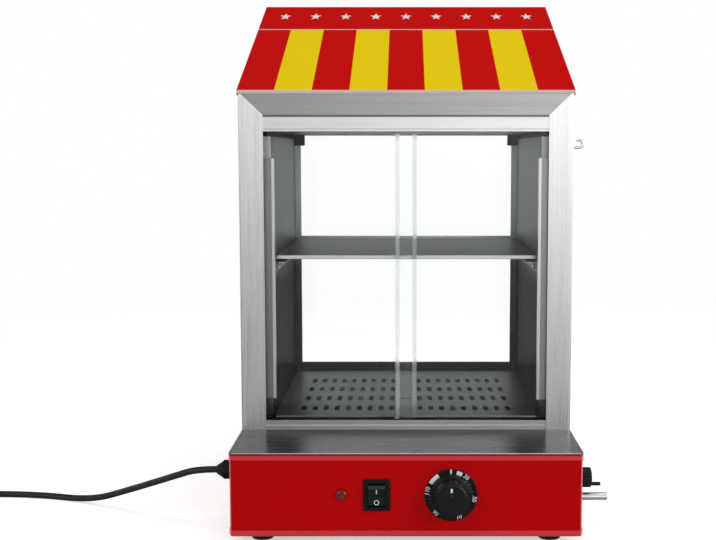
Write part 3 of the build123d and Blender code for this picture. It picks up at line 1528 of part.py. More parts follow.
# Safety cut-out: a small round thermostat pressed against the tank's bottom.
cutout_x, cutout_y = -62.0, 70.0
cutout_z = deck_z - tank_depth
with BuildPart() as safety_cutout:
    with BuildSketch(Plane.XY.offset(cutout_z)):
        with Locations((cutout_x, cutout_y)):
            Circle(8)
    extrude(amount=-4)
    with BuildSketch(Plane.XY.offset(cutout_z - 4)):
        with Locations((cutout_x, cutout_y)):
            Circle(6.5)
    extrude(amount=-7)
    # Contact tabs, bent sideways.
    for hand in (-1, 1):
        with BuildSketch(Plane.XY.offset(cutout_z - 11)):
            with Locations((cutout_x + hand * 7, cutout_y)):
                Rectangle(9, 6.3)
        extrude(amount=0.8)
write(safety_cutout, "safety_cutout")
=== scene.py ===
import math

import bmesh
import bpy
from mathutils import Matrix, Vector


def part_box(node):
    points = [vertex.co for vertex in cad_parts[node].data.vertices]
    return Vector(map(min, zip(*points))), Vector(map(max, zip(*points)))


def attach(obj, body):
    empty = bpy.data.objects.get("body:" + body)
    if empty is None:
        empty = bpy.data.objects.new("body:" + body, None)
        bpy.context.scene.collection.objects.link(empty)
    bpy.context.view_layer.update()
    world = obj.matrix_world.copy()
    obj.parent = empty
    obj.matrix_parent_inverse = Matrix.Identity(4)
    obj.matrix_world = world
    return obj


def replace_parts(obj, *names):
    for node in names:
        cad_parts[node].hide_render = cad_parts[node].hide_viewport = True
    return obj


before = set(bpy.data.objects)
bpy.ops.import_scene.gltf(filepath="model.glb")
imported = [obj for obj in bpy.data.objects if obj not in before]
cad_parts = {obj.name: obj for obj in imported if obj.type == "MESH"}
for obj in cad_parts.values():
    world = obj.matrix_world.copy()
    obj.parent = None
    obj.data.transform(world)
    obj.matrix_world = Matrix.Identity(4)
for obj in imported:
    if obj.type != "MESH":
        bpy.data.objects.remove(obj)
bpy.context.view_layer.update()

# ---- Camera ----
# The photograph's view: a little above the shelf, 1.35 m in front, tipped down slightly. The
# steamer stands right of the picture's middle, because the lead needs room on the left.
picture_width = 716
pixels_right = 48
camera_data = bpy.data.cameras.new("camera")
camera_data.sensor_width = 36.0
camera_data.lens = 59.65
camera_data.shift_x = -pixels_right / picture_width
camera = bpy.data.objects.new("camera", camera_data)
camera.location = (0, -1.3467, 0.3873)
camera.rotation_euler = (math.radians(84.38), 0, 0)
bpy.context.scene.collection.objects.link(camera)
bpy.context.scene.camera = camera

# ---- Mains lead ----
# Round black lead, 7 mm over its rubber sheath. It leaves the gland level, sags to the table
# and runs left out of view, where its spare length lies in a neat two-layer coil.


def finish(name, colour, roughness, metallic=0.0, more=None):
    """A plain finish that the sections below add their detail to."""
    material = bpy.data.materials.new(name)
    material.use_nodes = True
    tree = material.node_tree
    sockets = tree.nodes["Principled BSDF"].inputs
    plain = {"Base Color": (*colour, 1), "Roughness": roughness, "Metallic": metallic}
    for socket, value in {**plain, **(more or {})}.items():
        sockets[socket].default_value = value
    return material, tree


def place_on(tree, repeats):
    """Object coordinates, stretched so that a pattern has this many repeats to the metre."""
    place = tree.nodes.new("ShaderNodeTexCoord")
    mapping = tree.nodes.new("ShaderNodeMapping")
    if not isinstance(repeats, tuple):
        repeats = (repeats, repeats, repeats)
    mapping.inputs["Scale"].default_value = repeats
    tree.links.new(place.outputs["Object"], mapping.inputs["Vector"])
    return mapping.outputs["Vector"]


def noise(tree, repeats, detail=3.0):
    """Soft random pattern, as a number from 0 to 1."""
    texture = tree.nodes.new("ShaderNodeTexNoise")
    texture.inputs["Scale"].default_value = 1.0
    texture.inputs["Detail"].default_value = detail
    tree.links.new(place_on(tree, repeats), texture.inputs["Vector"])
    return texture.outputs["Fac"]


def ramp(tree, value, low, high, start=0.3, end=0.7):
    """Spread the values from start to end over the range from low to high."""
    spread = tree.nodes.new("ShaderNodeMapRange")
    limits = (("From Min", start), ("From Max", end), ("To Min", low), ("To Max", high))
    for name, number in limits:
        spread.inputs[name].default_value = number
    tree.links.new(value, spread.inputs["Value"])
    return spread.outputs["Result"]


def gloss(tree, pattern, smooth, dull, start=0.3, end=0.7):
    """Roughness that follows a pattern."""
    shader = tree.nodes["Principled BSDF"]
    tree.links.new(ramp(tree, pattern, smooth, dull, start, end), shader.inputs["Roughness"])


def grain(tree, pattern, strength, depth):
    """Small relief on the surface from a pattern."""
    bump = tree.nodes.new("ShaderNodeBump")
    bump.inputs["Strength"].default_value = strength
    bump.inputs["Distance"].default_value = depth
    tree.links.new(pattern, bump.inputs["Height"])
    tree.links.new(bump.outputs["Normal"], tree.nodes["Principled BSDF"].inputs["Normal"])


lead_rubber, tree = finish("lead_rubber", (0.012, 0.012, 0.013), 0.5)
gloss(tree, noise(tree, 60), 0.42, 0.62)
grain(tree, noise(tree, 2200), 0.25, 0.0002)

lead_d = 0.007
gland_nose = Vector((-0.1962, -0.14, 0.0605))
lead_route = [
    gland_nose,
    Vector((-0.218, -0.14, 0.0605)),
    Vector((-0.243, -0.1275, 0.05)),
    Vector((-0.272, -0.107, 0.0365)),
    Vector((-0.304, -0.087, 0.0225)),
    Vector((-0.337, -0.0685, 0.009)),
    Vector((-0.367, -0.053, 0.0035)),
    Vector((-0.399, -0.0425, 0.0035)),
    Vector((-0.432, -0.0365, 0.0035)),
    Vector((-0.466, -0.0347, 0.0035)),
]
# The coil: 5.25 turns that spiral in on the table and out again on top.
coil_middle = Vector((-0.508, -0.085, 0))
coil_turns = 5.25
coil_inner = 0.029
coil_pitch = 0.0077
climb_turns = 0.5            # the part of a turn over which the lead climbs to the upper layer
points_a_turn = 12
inside_run = 0.966           # a curve on 12 points a turn runs this share inside them
coil_points = []
for step in range(int(coil_turns * points_a_turn) + 1):
    turn = step / points_a_turn
    out = turn - coil_turns / 2
    radius = (coil_inner + coil_pitch * abs(out)) / inside_run
    climb = min(max(out / climb_turns + 0.5, 0), 1)
    angle = math.pi / 2 + 2 * math.pi * turn
    coil_points.append(coil_middle + Vector((
        radius * math.cos(angle), radius * math.sin(angle), lead_d / 2 + coil_pitch * climb,
    )))
lead_end = coil_middle + Vector((-0.0492, -0.012, lead_d / 2 + coil_pitch))
before_plug = lead_end + Vector((0, 0.014, 0))
lead_route += coil_points[:-1] + [before_plug, lead_end]

lead_line = bpy.data.curves.new("mains_lead", "CURVE")
lead_line.dimensions = "3D"
lead_line.bevel_depth = lead_d / 2
lead_line.bevel_resolution = 6
lead_line.resolution_u = 8
lead_line.use_fill_caps = True
spline = lead_line.splines.new("NURBS")
spline.points.add(len(lead_route) - 1)
for point, spot in zip(spline.points, lead_route):
    point.co = (*spot, 1)
spline.order_u = 3
spline.use_endpoint_u = True
mains_lead = bpy.data.objects.new("mains_lead", lead_line)
bpy.context.scene.collection.objects.link(mains_lead)
lead_line.materials.append(lead_rubber)
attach(mains_lead, "cabinet")
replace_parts(mains_lead, "mains_cord", "cord_coil")

# ---- Tie round the coil ----
# A soft strip of black plastic, 7 mm wide, wrapped round both layers of the coil so that it
# stays wound. It touches the turns and lies flat on the table below them.


def mesh_of(name, build):
    """A mesh filled by a function that works on a bmesh, with its faces turned outwards."""
    shape = bmesh.new()
    build(shape)
    bmesh.ops.recalc_face_normals(shape, faces=shape.faces)
    mesh = bpy.data.meshes.new(name)
    shape.to_mesh(mesh)
    shape.free()
    return mesh


def new_piece(name, mesh, material, body):
    """A finished mesh as a piece that rides on a body."""
    piece = bpy.data.objects.new(name, mesh)
    bpy.context.scene.collection.objects.link(piece)
    mesh.materials.clear()
    mesh.materials.append(material)
    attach(piece, body)
    return piece


def tint(tree, mask, tone):
    """Lay another tone over the finish where the mask is 1."""
    colour = tree.nodes["Principled BSDF"].inputs["Base Color"]
    mix = tree.nodes.new("ShaderNodeMix")
    mix.data_type = "RGBA"
    if colour.links:
        tree.links.new(colour.links[0].from_socket, mix.inputs["A"])
    else:
        mix.inputs["A"].default_value = colour.default_value
    mix.inputs["B"].default_value = (*tone, 1)
    tree.links.new(mask, mix.inputs["Factor"])
    tree.links.new(mix.outputs["Result"], colour)


def moulded(name, colour, roughness=0.45, texture=1800):
    """Moulded plastic: a fine spark-eroded texture and slightly uneven gloss."""
    plastic, tree = finish(name, colour, roughness, more={"Specular IOR Level": 0.15})
    tint(tree, noise(tree, 40), tuple(channel * 1.5 + 0.002 for channel in colour))
    gloss(tree, noise(tree, 90), roughness - 0.06, roughness + 0.08)
    grain(tree, noise(tree, texture, 1.0), 0.2, 0.0001)
    return plastic


tie_angle = math.radians(-60)
tie_width = 0.007
# The strip's loop, as distances from the coil's middle and heights over the table.
tie_inside = [
    (0.0252, 0.0002), (0.0487, 0.0002), (0.0487, 0.0148), (0.0330, 0.0152), (0.0252, 0.0103),
]
tie_outside = [
    (0.0244, 0.0), (0.0495, 0.0), (0.0495, 0.0156), (0.0328, 0.0160), (0.0244, 0.0107),
]


def wrap_tie(shape):
    outward = Vector((math.cos(tie_angle), math.sin(tie_angle), 0))
    along = Vector((-math.sin(tie_angle), math.cos(tie_angle), 0))
    rings = []
    for shift in (-tie_width / 2, tie_width / 2):
        for loop in (tie_inside, tie_outside):
            rings.append([
                shape.verts.new(coil_middle + outward * r + along * shift + Vector((0, 0, z)))
                for r, z in loop
            ])
    inner, outer, inner_far, outer_far = rings
    corners = len(tie_inside)
    walls = ((inner, outer), (outer, outer_far), (outer_far, inner_far), (inner_far, inner))
    for i in range(corners):
        j = (i + 1) % corners
        for first, second in walls:
            shape.faces.new((first[i], first[j], second[j], second[i]))


black_strip = moulded("black_strip", (0.010, 0.010, 0.011), 0.55)
tie_mesh = mesh_of("coil_tie", wrap_tie)
coil_tie = new_piece("coil_tie", tie_mesh, black_strip, "cabinet")

# ---- Plug and cable gland ----
# The plug is moulded on the lead in one piece with its sleeve. The gland screws into the
# base's left side and its ribbed dome clamps the lead.


def dress(material, *nodes):
    """Give CAD nodes this finish."""
    for node in nodes:
        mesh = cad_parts[node].data
        mesh.materials.clear()
        mesh.materials.append(material)


dress(moulded("plug_rubber", (0.013, 0.013, 0.014), 0.5, 1200), "plug_body")
dress(moulded("gland_nylon", (0.011, 0.011, 0.012), 0.38), "cable_gland", "gland_nut")


def plated(name, colour, roughness, patches=30):
    """Plated or drawn metal: bright, with a slight bloom and fine marks from handling."""
    metal, tree = finish(name, colour, roughness, 1.0)
    bloom = ramp(tree, noise(tree, patches), 0, 1, 0.4, 0.8)
    tint(tree, bloom, tuple(channel * 0.72 for channel in colour))
    gloss(tree, noise(tree, 900), roughness - 0.07, roughness + 0.1)
    return metal


dress(plated("pin_nickel", (0.66, 0.64, 0.60), 0.24), "plug_pins")

# ---- Base housing ----
# One steel sheet bent round the front and both sides, with rolled hems, stoved in a red enamel. Its
# hems and front bends are lightened as painted highlights, and a dark line along its top edge is
# painted shadow in the gap under the deck. The back and bottom plates are the same sheet in its
# dull mill finish.


def position(tree):
    """The surface point's own X, Y and Z in metres."""
    split = tree.nodes.new("ShaderNodeSeparateXYZ")
    tree.links.new(place_on(tree, 1), split.inputs["Vector"])
    return split.outputs


def calculate(tree, operation, first, second=0):
    """One step of arithmetic on patterns or numbers."""
    result = tree.nodes.new("ShaderNodeMath")
    result.operation = operation
    for socket, value in zip(result.inputs, (first, second)):
        if isinstance(value, (int, float)):
            socket.default_value = value
        else:
            tree.links.new(value, socket)
    return result.outputs["Value"]


def soft_step(tree, value, edge, blur, low=0, high=1):
    """From low to high where the value passes an edge, blurred this far to both sides of it."""
    return ramp(tree, value, low, high, edge - blur, edge + blur)


hem_width = 0.006
bend_width, bend_depth = 0.0019, 0.0035
joint_width = 0.0014
deeper_red = (0.45, 0.0008, 0.0016)
hem_highlight = (0.64, 0.046, 0.053)
bend_highlight = (0.86, 0.32, 0.34)
joint_shadow = (0.19, 0.004, 0.005)
base_enamel, tree = finish(
    "base_enamel", (0.51, 0.0012, 0.0022), 0.34, more={"Specular IOR Level": 0.05}
)
tint(tree, ramp(tree, noise(tree, 7), 0, 1), deeper_red)
place = position(tree)
shell_low, shell_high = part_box("base_shell")
# The pale bands on the hems and the front bends are painted highlights on the rolled edges.
top_hem_highlight = soft_step(tree, place["Z"], shell_high.z - hem_width, 0.0008)
low_hem_highlight = soft_step(tree, place["Z"], shell_low.z + hem_width, 0.0008, 1, 0)
tint(tree, calculate(tree, "MAXIMUM", top_hem_highlight, low_hem_highlight), hem_highlight)
outward = calculate(tree, "ABSOLUTE", place["X"])
outermost = soft_step(tree, outward, shell_high.x - bend_width, 0.0007)
foremost = soft_step(tree, place["Y"], shell_low.y + bend_depth, 0.0005, 1, 0)
tint(tree, calculate(tree, "MULTIPLY", outermost, foremost), bend_highlight)
# A painted shadow line along the shell's top edge, where it meets the deck.
tint(tree, soft_step(tree, place["Z"], shell_high.z - joint_width, 0.0002), joint_shadow)
gloss(tree, noise(tree, 25), 0.30, 0.40)
grain(tree, noise(tree, 420, 1.0), 0.10, 0.0002)
dress(base_enamel, "base_shell")

mill_sheet, tree = finish("mill_sheet", (0.42, 0.43, 0.45), 0.42, 1.0)
spangle = tree.nodes.new("ShaderNodeTexVoronoi")
spangle.inputs["Scale"].default_value = 1.0
tree.links.new(place_on(tree, 110), spangle.inputs["Vector"])
tint(tree, ramp(tree, spangle.outputs["Color"], 0, 1, 0.1, 0.9), (0.56, 0.57, 0.58))
gloss(tree, noise(tree, 160), 0.36, 0.52)
dress(mill_sheet, "base_bottom", "base_back")

# ---- Deck and casing ----
# Stainless sheet with a coarse brushed face, folded on a brake. The grain runs up the side and
# back panels, and side to side on the deck and on the roof sheet with its header.


def brushed(name, tone, along, roughness=0.30, streaks=0.10, spread=0.55, edge_on=1.0):
    """Brushed sheet: fine scratches and broad streaks that run along one axis."""
    darker = tuple(channel * (1 - streaks) for channel in tone)
    lighter = tuple(min(channel * (1 + streaks), 1) for channel in tone)
    more = {"Specular Tint": (edge_on, edge_on, edge_on, 1), "Anisotropic": spread}
    metal, tree = finish(name, darker, roughness, 1.0, more)

    def lengthways(across, down):
        return tuple(down if axis == along else across for axis in "xyz")

    scratches = noise(tree, lengthways(2600, 14))
    bands = noise(tree, lengthways(240, 3))
    both = tree.nodes.new("ShaderNodeMix")
    both.inputs["Factor"].default_value = 0.45
    tree.links.new(scratches, both.inputs["A"])
    tree.links.new(bands, both.inputs["B"])
    tint(tree, ramp(tree, both.outputs["Result"], 0, 1, 0.35, 0.65), lighter)
    gloss(tree, scratches, roughness - 0.06, roughness + 0.09)
    grain(tree, scratches, 0.12, 0.00005)
    # Light spreads across the scratches. The skewed direction never lies along the surface's own.
    across = tree.nodes.new("ShaderNodeCombineXYZ")
    skewed = {"x": (0.0, 0.3, 1.0), "y": (0.3, 0.0, 1.0), "z": (1.0, 0.3, 0.0)}[along]
    for socket, number in zip(across.inputs, skewed):
        socket.default_value = number
    tree.links.new(across.outputs["Vector"], tree.nodes["Principled BSDF"].inputs["Tangent"])
    return metal


casing_upright = brushed("casing_upright", (0.72, 0.715, 0.72), "z")
# The roof sheet with its header is a darker copy of the casing sheet, as painted shade under the
# roof's eave.
shaded_casing_level = brushed("shaded_casing_level", (0.405, 0.40, 0.405), "x", 0.33)
casing_deck = brushed("casing_deck", (0.40, 0.395, 0.40), "x", 0.25, 0.12, 0.3, edge_on=0.34)
dress(casing_upright, "side_panel_right", "side_panel_left", "back_panel")
dress(shaded_casing_level, "roof_sheet")
dress(casing_deck, "base_deck")

# ---- Screws and feet ----
# Pan-head steel screws with a cross recess, zinc plated. Twelve hold the two back panels, four
# clamp the rubber feet from below, and four carry the shelf's angles on the chamber walls.
head_d = 0.0075
head_height = 0.0024
shank_d = 0.004
screw_sides = 20
recess_long = head_d * 0.56
recess_wide = head_d * 0.13
recess_deep = head_height * 0.6
zinc = plated("zinc_plate", (0.70, 0.69, 0.66), 0.28, 200)


def screw_unit(length):
    """One screw, head up on the ground plane, with its cross recess cut."""
    def turn_up(shape):
        profile = [
            (0, -length), (shank_d / 2, -length), (shank_d / 2, 0), (head_d / 2, 0),
            (head_d / 2, head_height * 0.55), (head_d * 0.43, head_height * 0.85),
            (head_d * 0.30, head_height), (0, head_height),
        ]
        angles = [math.tau * side / screw_sides for side in range(screw_sides)]
        rings = []
        for r, z in profile:
            if r == 0:
                rings.append([shape.verts.new((0, 0, z))] * screw_sides)
            else:
                rings.append([
                    shape.verts.new((r * math.cos(a), r * math.sin(a), z)) for a in angles
                ])
        for lower, upper in zip(rings, rings[1:]):
            for i in range(screw_sides):
                j = (i + 1) % screw_sides
                corners = (lower[i], lower[j], upper[j], upper[i])
                shape.faces.new(tuple(dict.fromkeys(corners)))

    def cross(shape):
        size = Matrix.Diagonal((recess_long, recess_wide, 2 * recess_deep, 1))
        for turned in (0, math.pi / 2):
            turn = Matrix.Rotation(turned, 4, "Z")
            place = Matrix.Translation((0, 0, head_height)) @ turn @ size
            bmesh.ops.create_cube(shape, size=1, matrix=place)

    screw = bpy.data.objects.new("screw", mesh_of("screw", turn_up))
    recess = bpy.data.objects.new("recess", mesh_of("recess", cross))
    bpy.context.scene.collection.objects.link(screw)
    bpy.context.scene.collection.objects.link(recess)
    cut = screw.modifiers.new("recess", "BOOLEAN")
    cut.operation = "DIFFERENCE"
    cut.use_self = True
    cut.object = recess
    graph = bpy.context.evaluated_depsgraph_get()
    mesh = bpy.data.meshes.new_from_object(screw.evaluated_get(graph))
    for part in (screw, recess):
        bpy.data.objects.remove(part)
    mesh.polygons.foreach_set("use_smooth", [True] * len(mesh.polygons))
    mesh.set_sharp_from_angle(angle=math.radians(35))
    return mesh


def new_socket(tree, name, kind, way="INPUT"):
    """A named input or output of a Geometry Nodes tree."""
    return tree.interface.new_socket(name=name, in_out=way, socket_type=kind)


def stand_on_points(name, unit_mesh, spots, facings, material, size=1.0, turn=math.tau, seed=1):
    """Copies of one unit on each spot, its top along the spot's facing, turned at random."""
    tree = bpy.data.node_groups.new(name, "GeometryNodeTree")
    new_socket(tree, "Points", "NodeSocketGeometry")
    unit_input = new_socket(tree, "Unit", "NodeSocketObject")
    size_input = new_socket(tree, "Size", "NodeSocketFloat")
    turn_input = new_socket(tree, "Random turn", "NodeSocketFloat")
    finish_input = new_socket(tree, "Finish", "NodeSocketMaterial")
    new_socket(tree, "Pieces", "NodeSocketGeometry", "OUTPUT")
    inputs = tree.nodes.new("NodeGroupInput")
    facing = tree.nodes.new("GeometryNodeInputNamedAttribute")
    facing.data_type = "FLOAT_VECTOR"
    facing.inputs["Name"].default_value = "facing"
    align = tree.nodes.new("FunctionNodeAlignRotationToVector")
    align.axis = "Z"
    unit = tree.nodes.new("GeometryNodeObjectInfo")
    stand = tree.nodes.new("GeometryNodeInstanceOnPoints")
    chance = tree.nodes.new("FunctionNodeRandomValue")
    chance.data_type = "FLOAT"
    chance.inputs["Seed"].default_value = seed
    spin = tree.nodes.new("ShaderNodeCombineXYZ")
    rotate = tree.nodes.new("GeometryNodeRotateInstances")
    realize = tree.nodes.new("GeometryNodeRealizeInstances")
    coat = tree.nodes.new("GeometryNodeSetMaterial")
    output = tree.nodes.new("NodeGroupOutput")
    random_number = next(socket for socket in chance.outputs if socket.enabled)
    highest = next(socket for socket in chance.inputs if socket.enabled and socket.name == "Max")
    for source, target in (
        (inputs.outputs["Points"], stand.inputs["Points"]),
        (inputs.outputs["Unit"], unit.inputs["Object"]),
        (unit.outputs["Geometry"], stand.inputs["Instance"]),
        (facing.outputs["Attribute"], align.inputs["Vector"]),
        (align.outputs["Rotation"], stand.inputs["Rotation"]),
        (inputs.outputs["Size"], stand.inputs["Scale"]),
        (stand.outputs["Instances"], rotate.inputs["Instances"]),
        (inputs.outputs["Random turn"], highest),
        (random_number, spin.inputs["Z"]),
        (spin.outputs["Vector"], rotate.inputs["Rotation"]),
        (rotate.outputs["Instances"], realize.inputs["Geometry"]),
        (realize.outputs["Geometry"], coat.inputs["Geometry"]),
        (inputs.outputs["Finish"], coat.inputs["Material"]),
        (coat.outputs["Geometry"], output.inputs["Pieces"]),
    ):
        tree.links.new(source, target)

    points = bpy.data.meshes.new(name)
    points.from_pydata([tuple(spot) for spot in spots], [], [])
    points.attributes.new("facing", "FLOAT_VECTOR", "POINT")
    for item, direction in zip(points.attributes["facing"].data, facings):
        item.vector = direction
    unit_object = bpy.data.objects.new("unit", unit_mesh)
    carrier = bpy.data.objects.new(name, points)
    bpy.context.scene.collection.objects.link(unit_object)
    bpy.context.scene.collection.objects.link(carrier)
    spread = carrier.modifiers.new("repeat", "NODES")
    spread.node_group = tree
    spread[unit_input.identifier] = unit_object
    spread[size_input.identifier] = size
    spread[turn_input.identifier] = turn
    spread[finish_input.identifier] = material
    graph = bpy.context.evaluated_depsgraph_get()
    mesh = bpy.data.meshes.new_from_object(carrier.evaluated_get(graph))
    for part in (carrier, unit_object):
        bpy.data.objects.remove(part)
    return mesh


def screw_on(name, node, length, spots, facings, seed):
    """A set of screws that stands for a CAD node."""
    mesh = stand_on_points(name, screw_unit(length), spots, facings, zinc, seed=seed)
    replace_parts(new_piece(name, mesh, zinc, "cabinet"), node)


back_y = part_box("back_panel")[1].y
upper_x, upper_rows = 0.165, (0.114, 0.2545, 0.3951, 0.5357)
lower_x, lower_rows = 0.1667, (0.024, 0.08)
spots = [Vector((x, back_y, z)) for x in (-upper_x, upper_x) for z in upper_rows]
spots += [Vector((x, back_y, z)) for x in (-lower_x, lower_x) for z in lower_rows]
screw_on("panel_screws", "rear_screws", 0.006, spots, [Vector((0, 1, 0))] * len(spots), 3)

foot_x, foot_y = 0.145, 0.175
foot_seat = 0.005
spots = [Vector((x, y, foot_seat)) for x in (-foot_x, foot_x) for y in (-foot_y, foot_y)]
screw_on("foot_fixings", "foot_screws", 0.014, spots, [Vector((0, 0, -1))] * len(spots), 5)

angle_face = 0.142
angle_z = 0.264
angle_ys = (-0.04, 0.155)
spots = [Vector((x, y, angle_z)) for x in (-angle_face, angle_face) for y in angle_ys]
facings = [Vector((-spot.x, 0, 0)).normalized() for spot in spots]
screw_on("angle_fixings", "support_screws", 0.007, spots, facings, 9)
dress(zinc, "thermostat_screws")

foot_rubber, tree = finish("foot_rubber", (0.016, 0.016, 0.017), 0.75)
dust = ramp(tree, noise(tree, 130), 0, 1, 0.5, 0.8)
tint(tree, dust, (0.05, 0.048, 0.045))
grain(tree, noise(tree, 1500), 0.3, 0.0002)
dress(foot_rubber, "feet")

# ---- Water tank and heater ----
# The tank is a drawn stainless pan, with pale scale where the water stands. The heater is one
# steel tube that has turned straw and blue in use, clamped to the pan's front by brass nuts.
water_line = 0.0575
tank_steel, tree = finish("tank_steel", (0.60, 0.60, 0.60), 0.30, 1.0)
low_down = soft_step(tree, position(tree)["Z"], water_line, 0.0125, 1, 0)
scale_patches = ramp(tree, noise(tree, (45, 45, 90), 6.0), 0, 1, 0.42, 0.62)
scaled = calculate(tree, "MULTIPLY", low_down, scale_patches)
tint(tree, scaled, (0.74, 0.72, 0.68))
gloss(tree, scaled, 0.28, 0.6, 0, 1)
dress(tank_steel, "water_tank")

steel_grey = (0.56, 0.55, 0.53, 1)
straw = (0.48, 0.36, 0.20, 1)
purple = (0.24, 0.16, 0.20, 1)
blue_grey = (0.17, 0.17, 0.20, 1)
tint_start, tint_end = -0.075, 0.0
tinted_tube, tree = finish("tinted_tube", straw[:3], 0.32, 1.0)
wander = calculate(tree, "MULTIPLY", noise(tree, 22), 0.05)
inwards = calculate(tree, "ADD", wander, position(tree)["Y"])
tints = tree.nodes.new("ShaderNodeValToRGB")
tree.links.new(ramp(tree, inwards, 0, 1, tint_start, tint_end), tints.inputs["Fac"])
tints.color_ramp.elements[0].color = steel_grey
tints.color_ramp.elements[1].color = blue_grey
for share, colour in ((0.35, straw), (0.65, purple)):
    tints.color_ramp.elements.new(share).color = colour
tree.links.new(tints.outputs["Color"], tree.nodes["Principled BSDF"].inputs["Base Color"])
gloss(tree, noise(tree, 300), 0.25, 0.42)
dress(tinted_tube, "heating_element")
turned_brass = plated("turned_brass", (0.66, 0.46, 0.19), 0.27, 60)
dress(turned_brass, "heater_nuts", "drain_tap", "drain_spindle")
dress(plated("copper_bulb", (0.62, 0.42, 0.26), 0.30, 80), "thermostat_sensor")

# ---- Dial and knob ----
# The dial is a black aluminium disc, turned on a lathe, with plain white print. The fluted knob
# is black plastic with a line set in its face. It turns clockwise from the top and is pushed on
# the steel shaft of a thermostat in a brown case.
knob_axis = Vector((0.0443, 0, 0.052))


def front_rings(tree, centre, repeats):
    """Fine rings round a point of the front, this many to the metre."""
    rings = tree.nodes.new("ShaderNodeTexWave")
    rings.wave_type = "RINGS"
    rings.rings_direction = "Y"
    rings.inputs["Scale"].default_value = 1.0
    centred = tree.nodes.new("ShaderNodeMapping")
    centred.inputs["Location"].default_value = tuple(-repeats * centre)
    centred.inputs["Scale"].default_value = (repeats, repeats, repeats)
    tree.links.new(place_on(tree, 1), centred.inputs["Vector"])
    tree.links.new(centred.outputs["Vector"], rings.inputs["Vector"])
    return rings.outputs["Fac"]


dial_face, tree = finish(
    "dial_face", (0.010, 0.010, 0.011), 0.34, 0.35, {"Specular IOR Level": 0.2}
)
lathe_marks = front_rings(tree, knob_axis, 600)
gloss(tree, lathe_marks, 0.28, 0.42, 0, 1)
grain(tree, lathe_marks, 0.08, 0.00005)
dress(dial_face, "dial_plate")

glossy_black, tree = finish(
    "glossy_black", (0.008, 0.008, 0.009), 0.22, more={"Specular IOR Level": 0.15}
)
tint(tree, noise(tree, 60), (0.014, 0.015, 0.015))
gloss(tree, noise(tree, 120), 0.16, 0.30)
grain(tree, noise(tree, 1400, 1.0), 0.05, 0.0001)
dress(glossy_black, "knob")

# Only the outer end of the knob's line is painted.
bare_share = 0.55
paint_fade = 0.0004
paint_white = (0.80, 0.81, 0.80)
pointer_paint, tree = finish("pointer_paint", (0.012, 0.012, 0.013), 0.45)
pointer_low, pointer_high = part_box("knob_pointer")
paint_edge = pointer_low.z + bare_share * (pointer_high.z - pointer_low.z)
painted = ramp(tree, position(tree)["Z"], 0, 1, paint_edge, paint_edge + paint_fade)
tint(tree, painted, paint_white)
dress(pointer_paint, "knob_pointer")

white_print, tree = finish("white_print", (0.78, 0.79, 0.78), 0.5)
tint(tree, ramp(tree, noise(tree, 1500), 0, 1, 0.55, 0.8), (0.55, 0.56, 0.56))

# Angles on the dial run clockwise from the top, in degrees.
print_lift = 0.00003
dial_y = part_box("dial_plate")[0].y - print_lift
print_height = 0.0042
letter_size = print_height * 1.38
letter_boldness = 0.00008
number_r = 0.0234
first_number, last_number = 40, 280
numbers = ("30", "50", "70", "90", "110")
number_step = (last_number - first_number) / (len(numbers) - 1)
tick_step = 10
tick_half = 0.8
tick_inner, tick_outer = 0.0209, 0.0214
# The mark for off and two bold end bars: inner and outer radius, first and last angle.
bold_marks = (
    (0.0213, 0.0258, -2, 2), (0.0213, 0.0252, 300, 328), (0.0213, 0.0252, 14, 28),
)


def on_dial(r, degrees):
    """Point on the dial's face."""
    angle = math.radians(degrees)
    x = knob_axis.x + r * math.sin(angle)
    z = knob_axis.z + r * math.cos(angle)
    return Vector((x, dial_y, z))


def arc_band(shape, r_in, r_out, start, end):
    """Flat ring sector on the dial, between two angles."""
    steps = max(int(abs(end - start) / 4), 2)
    angles = [start + (end - start) * step / steps for step in range(steps + 1)]
    inner = [shape.verts.new(on_dial(r_in, angle)) for angle in angles]
    outer = [shape.verts.new(on_dial(r_out, angle)) for angle in angles]
    for i in range(steps):
        shape.faces.new((inner[i], inner[i + 1], outer[i + 1], outer[i]))


dial_prints = bmesh.new()
for order, number in enumerate(numbers):
    words = bpy.data.curves.new("number", "FONT")
    words.body = number
    words.size = letter_size
    words.align_x = "CENTER"
    words.align_y = "CENTER"
    words.offset = letter_boldness
    text = bpy.data.objects.new("number", words)
    bpy.context.scene.collection.objects.link(text)
    graph = bpy.context.evaluated_depsgraph_get()
    flat = bpy.data.meshes.new_from_object(text.evaluated_get(graph))
    bpy.data.objects.remove(text)
    degrees = first_number + order * number_step
    # Each number stands square to the dial's rim, and those at the bottom are turned over.
    turned = math.radians(degrees)
    if math.cos(turned) <= -0.2:
        turned += math.pi
    facing_out = Matrix.Rotation(turned, 4, "Y") @ Matrix.Rotation(math.pi / 2, 4, "X")
    flat.transform(Matrix.Translation(on_dial(number_r, degrees)) @ facing_out)
    dial_prints.from_mesh(flat)

for mark in bold_marks:
    arc_band(dial_prints, *mark)
for tick in range(first_number + tick_step, last_number, tick_step):
    arc_band(dial_prints, tick_inner, tick_outer, tick - tick_half, tick + tick_half)
mesh = bpy.data.meshes.new("dial_print")
dial_prints.to_mesh(mesh)
dial_prints.free()
new_piece("dial_print", mesh, white_print, "cabinet")

dress(moulded("phenolic_brown", (0.030, 0.020, 0.014), 0.4), "thermostat")
dress(plated("shaft_steel", (0.58, 0.58, 0.58), 0.3), "thermostat_shaft")

# ---- Power switch and lamp ----
# A snap-in rocker switch of black nylon. Its rocker is a dark, slightly green plastic with the
# plain on and off marks printed in white. The lamp has a domed red lens with a ribbed inside.
dress(moulded("switch_nylon", (0.005, 0.005, 0.006), 0.36), "rocker_body")
rocker_plastic, tree = finish(
    "rocker_plastic", (0.003, 0.007, 0.006), 0.2, more={"Specular IOR Level": 0.2}
)
tint(tree, noise(tree, 70), (0.006, 0.018, 0.014))
gloss(tree, noise(tree, 200), 0.14, 0.26)
dress(rocker_plastic, "rocker")

pivot = Vector((-0.029, -0.2012, 0.052))
rest_tilt = math.radians(10)
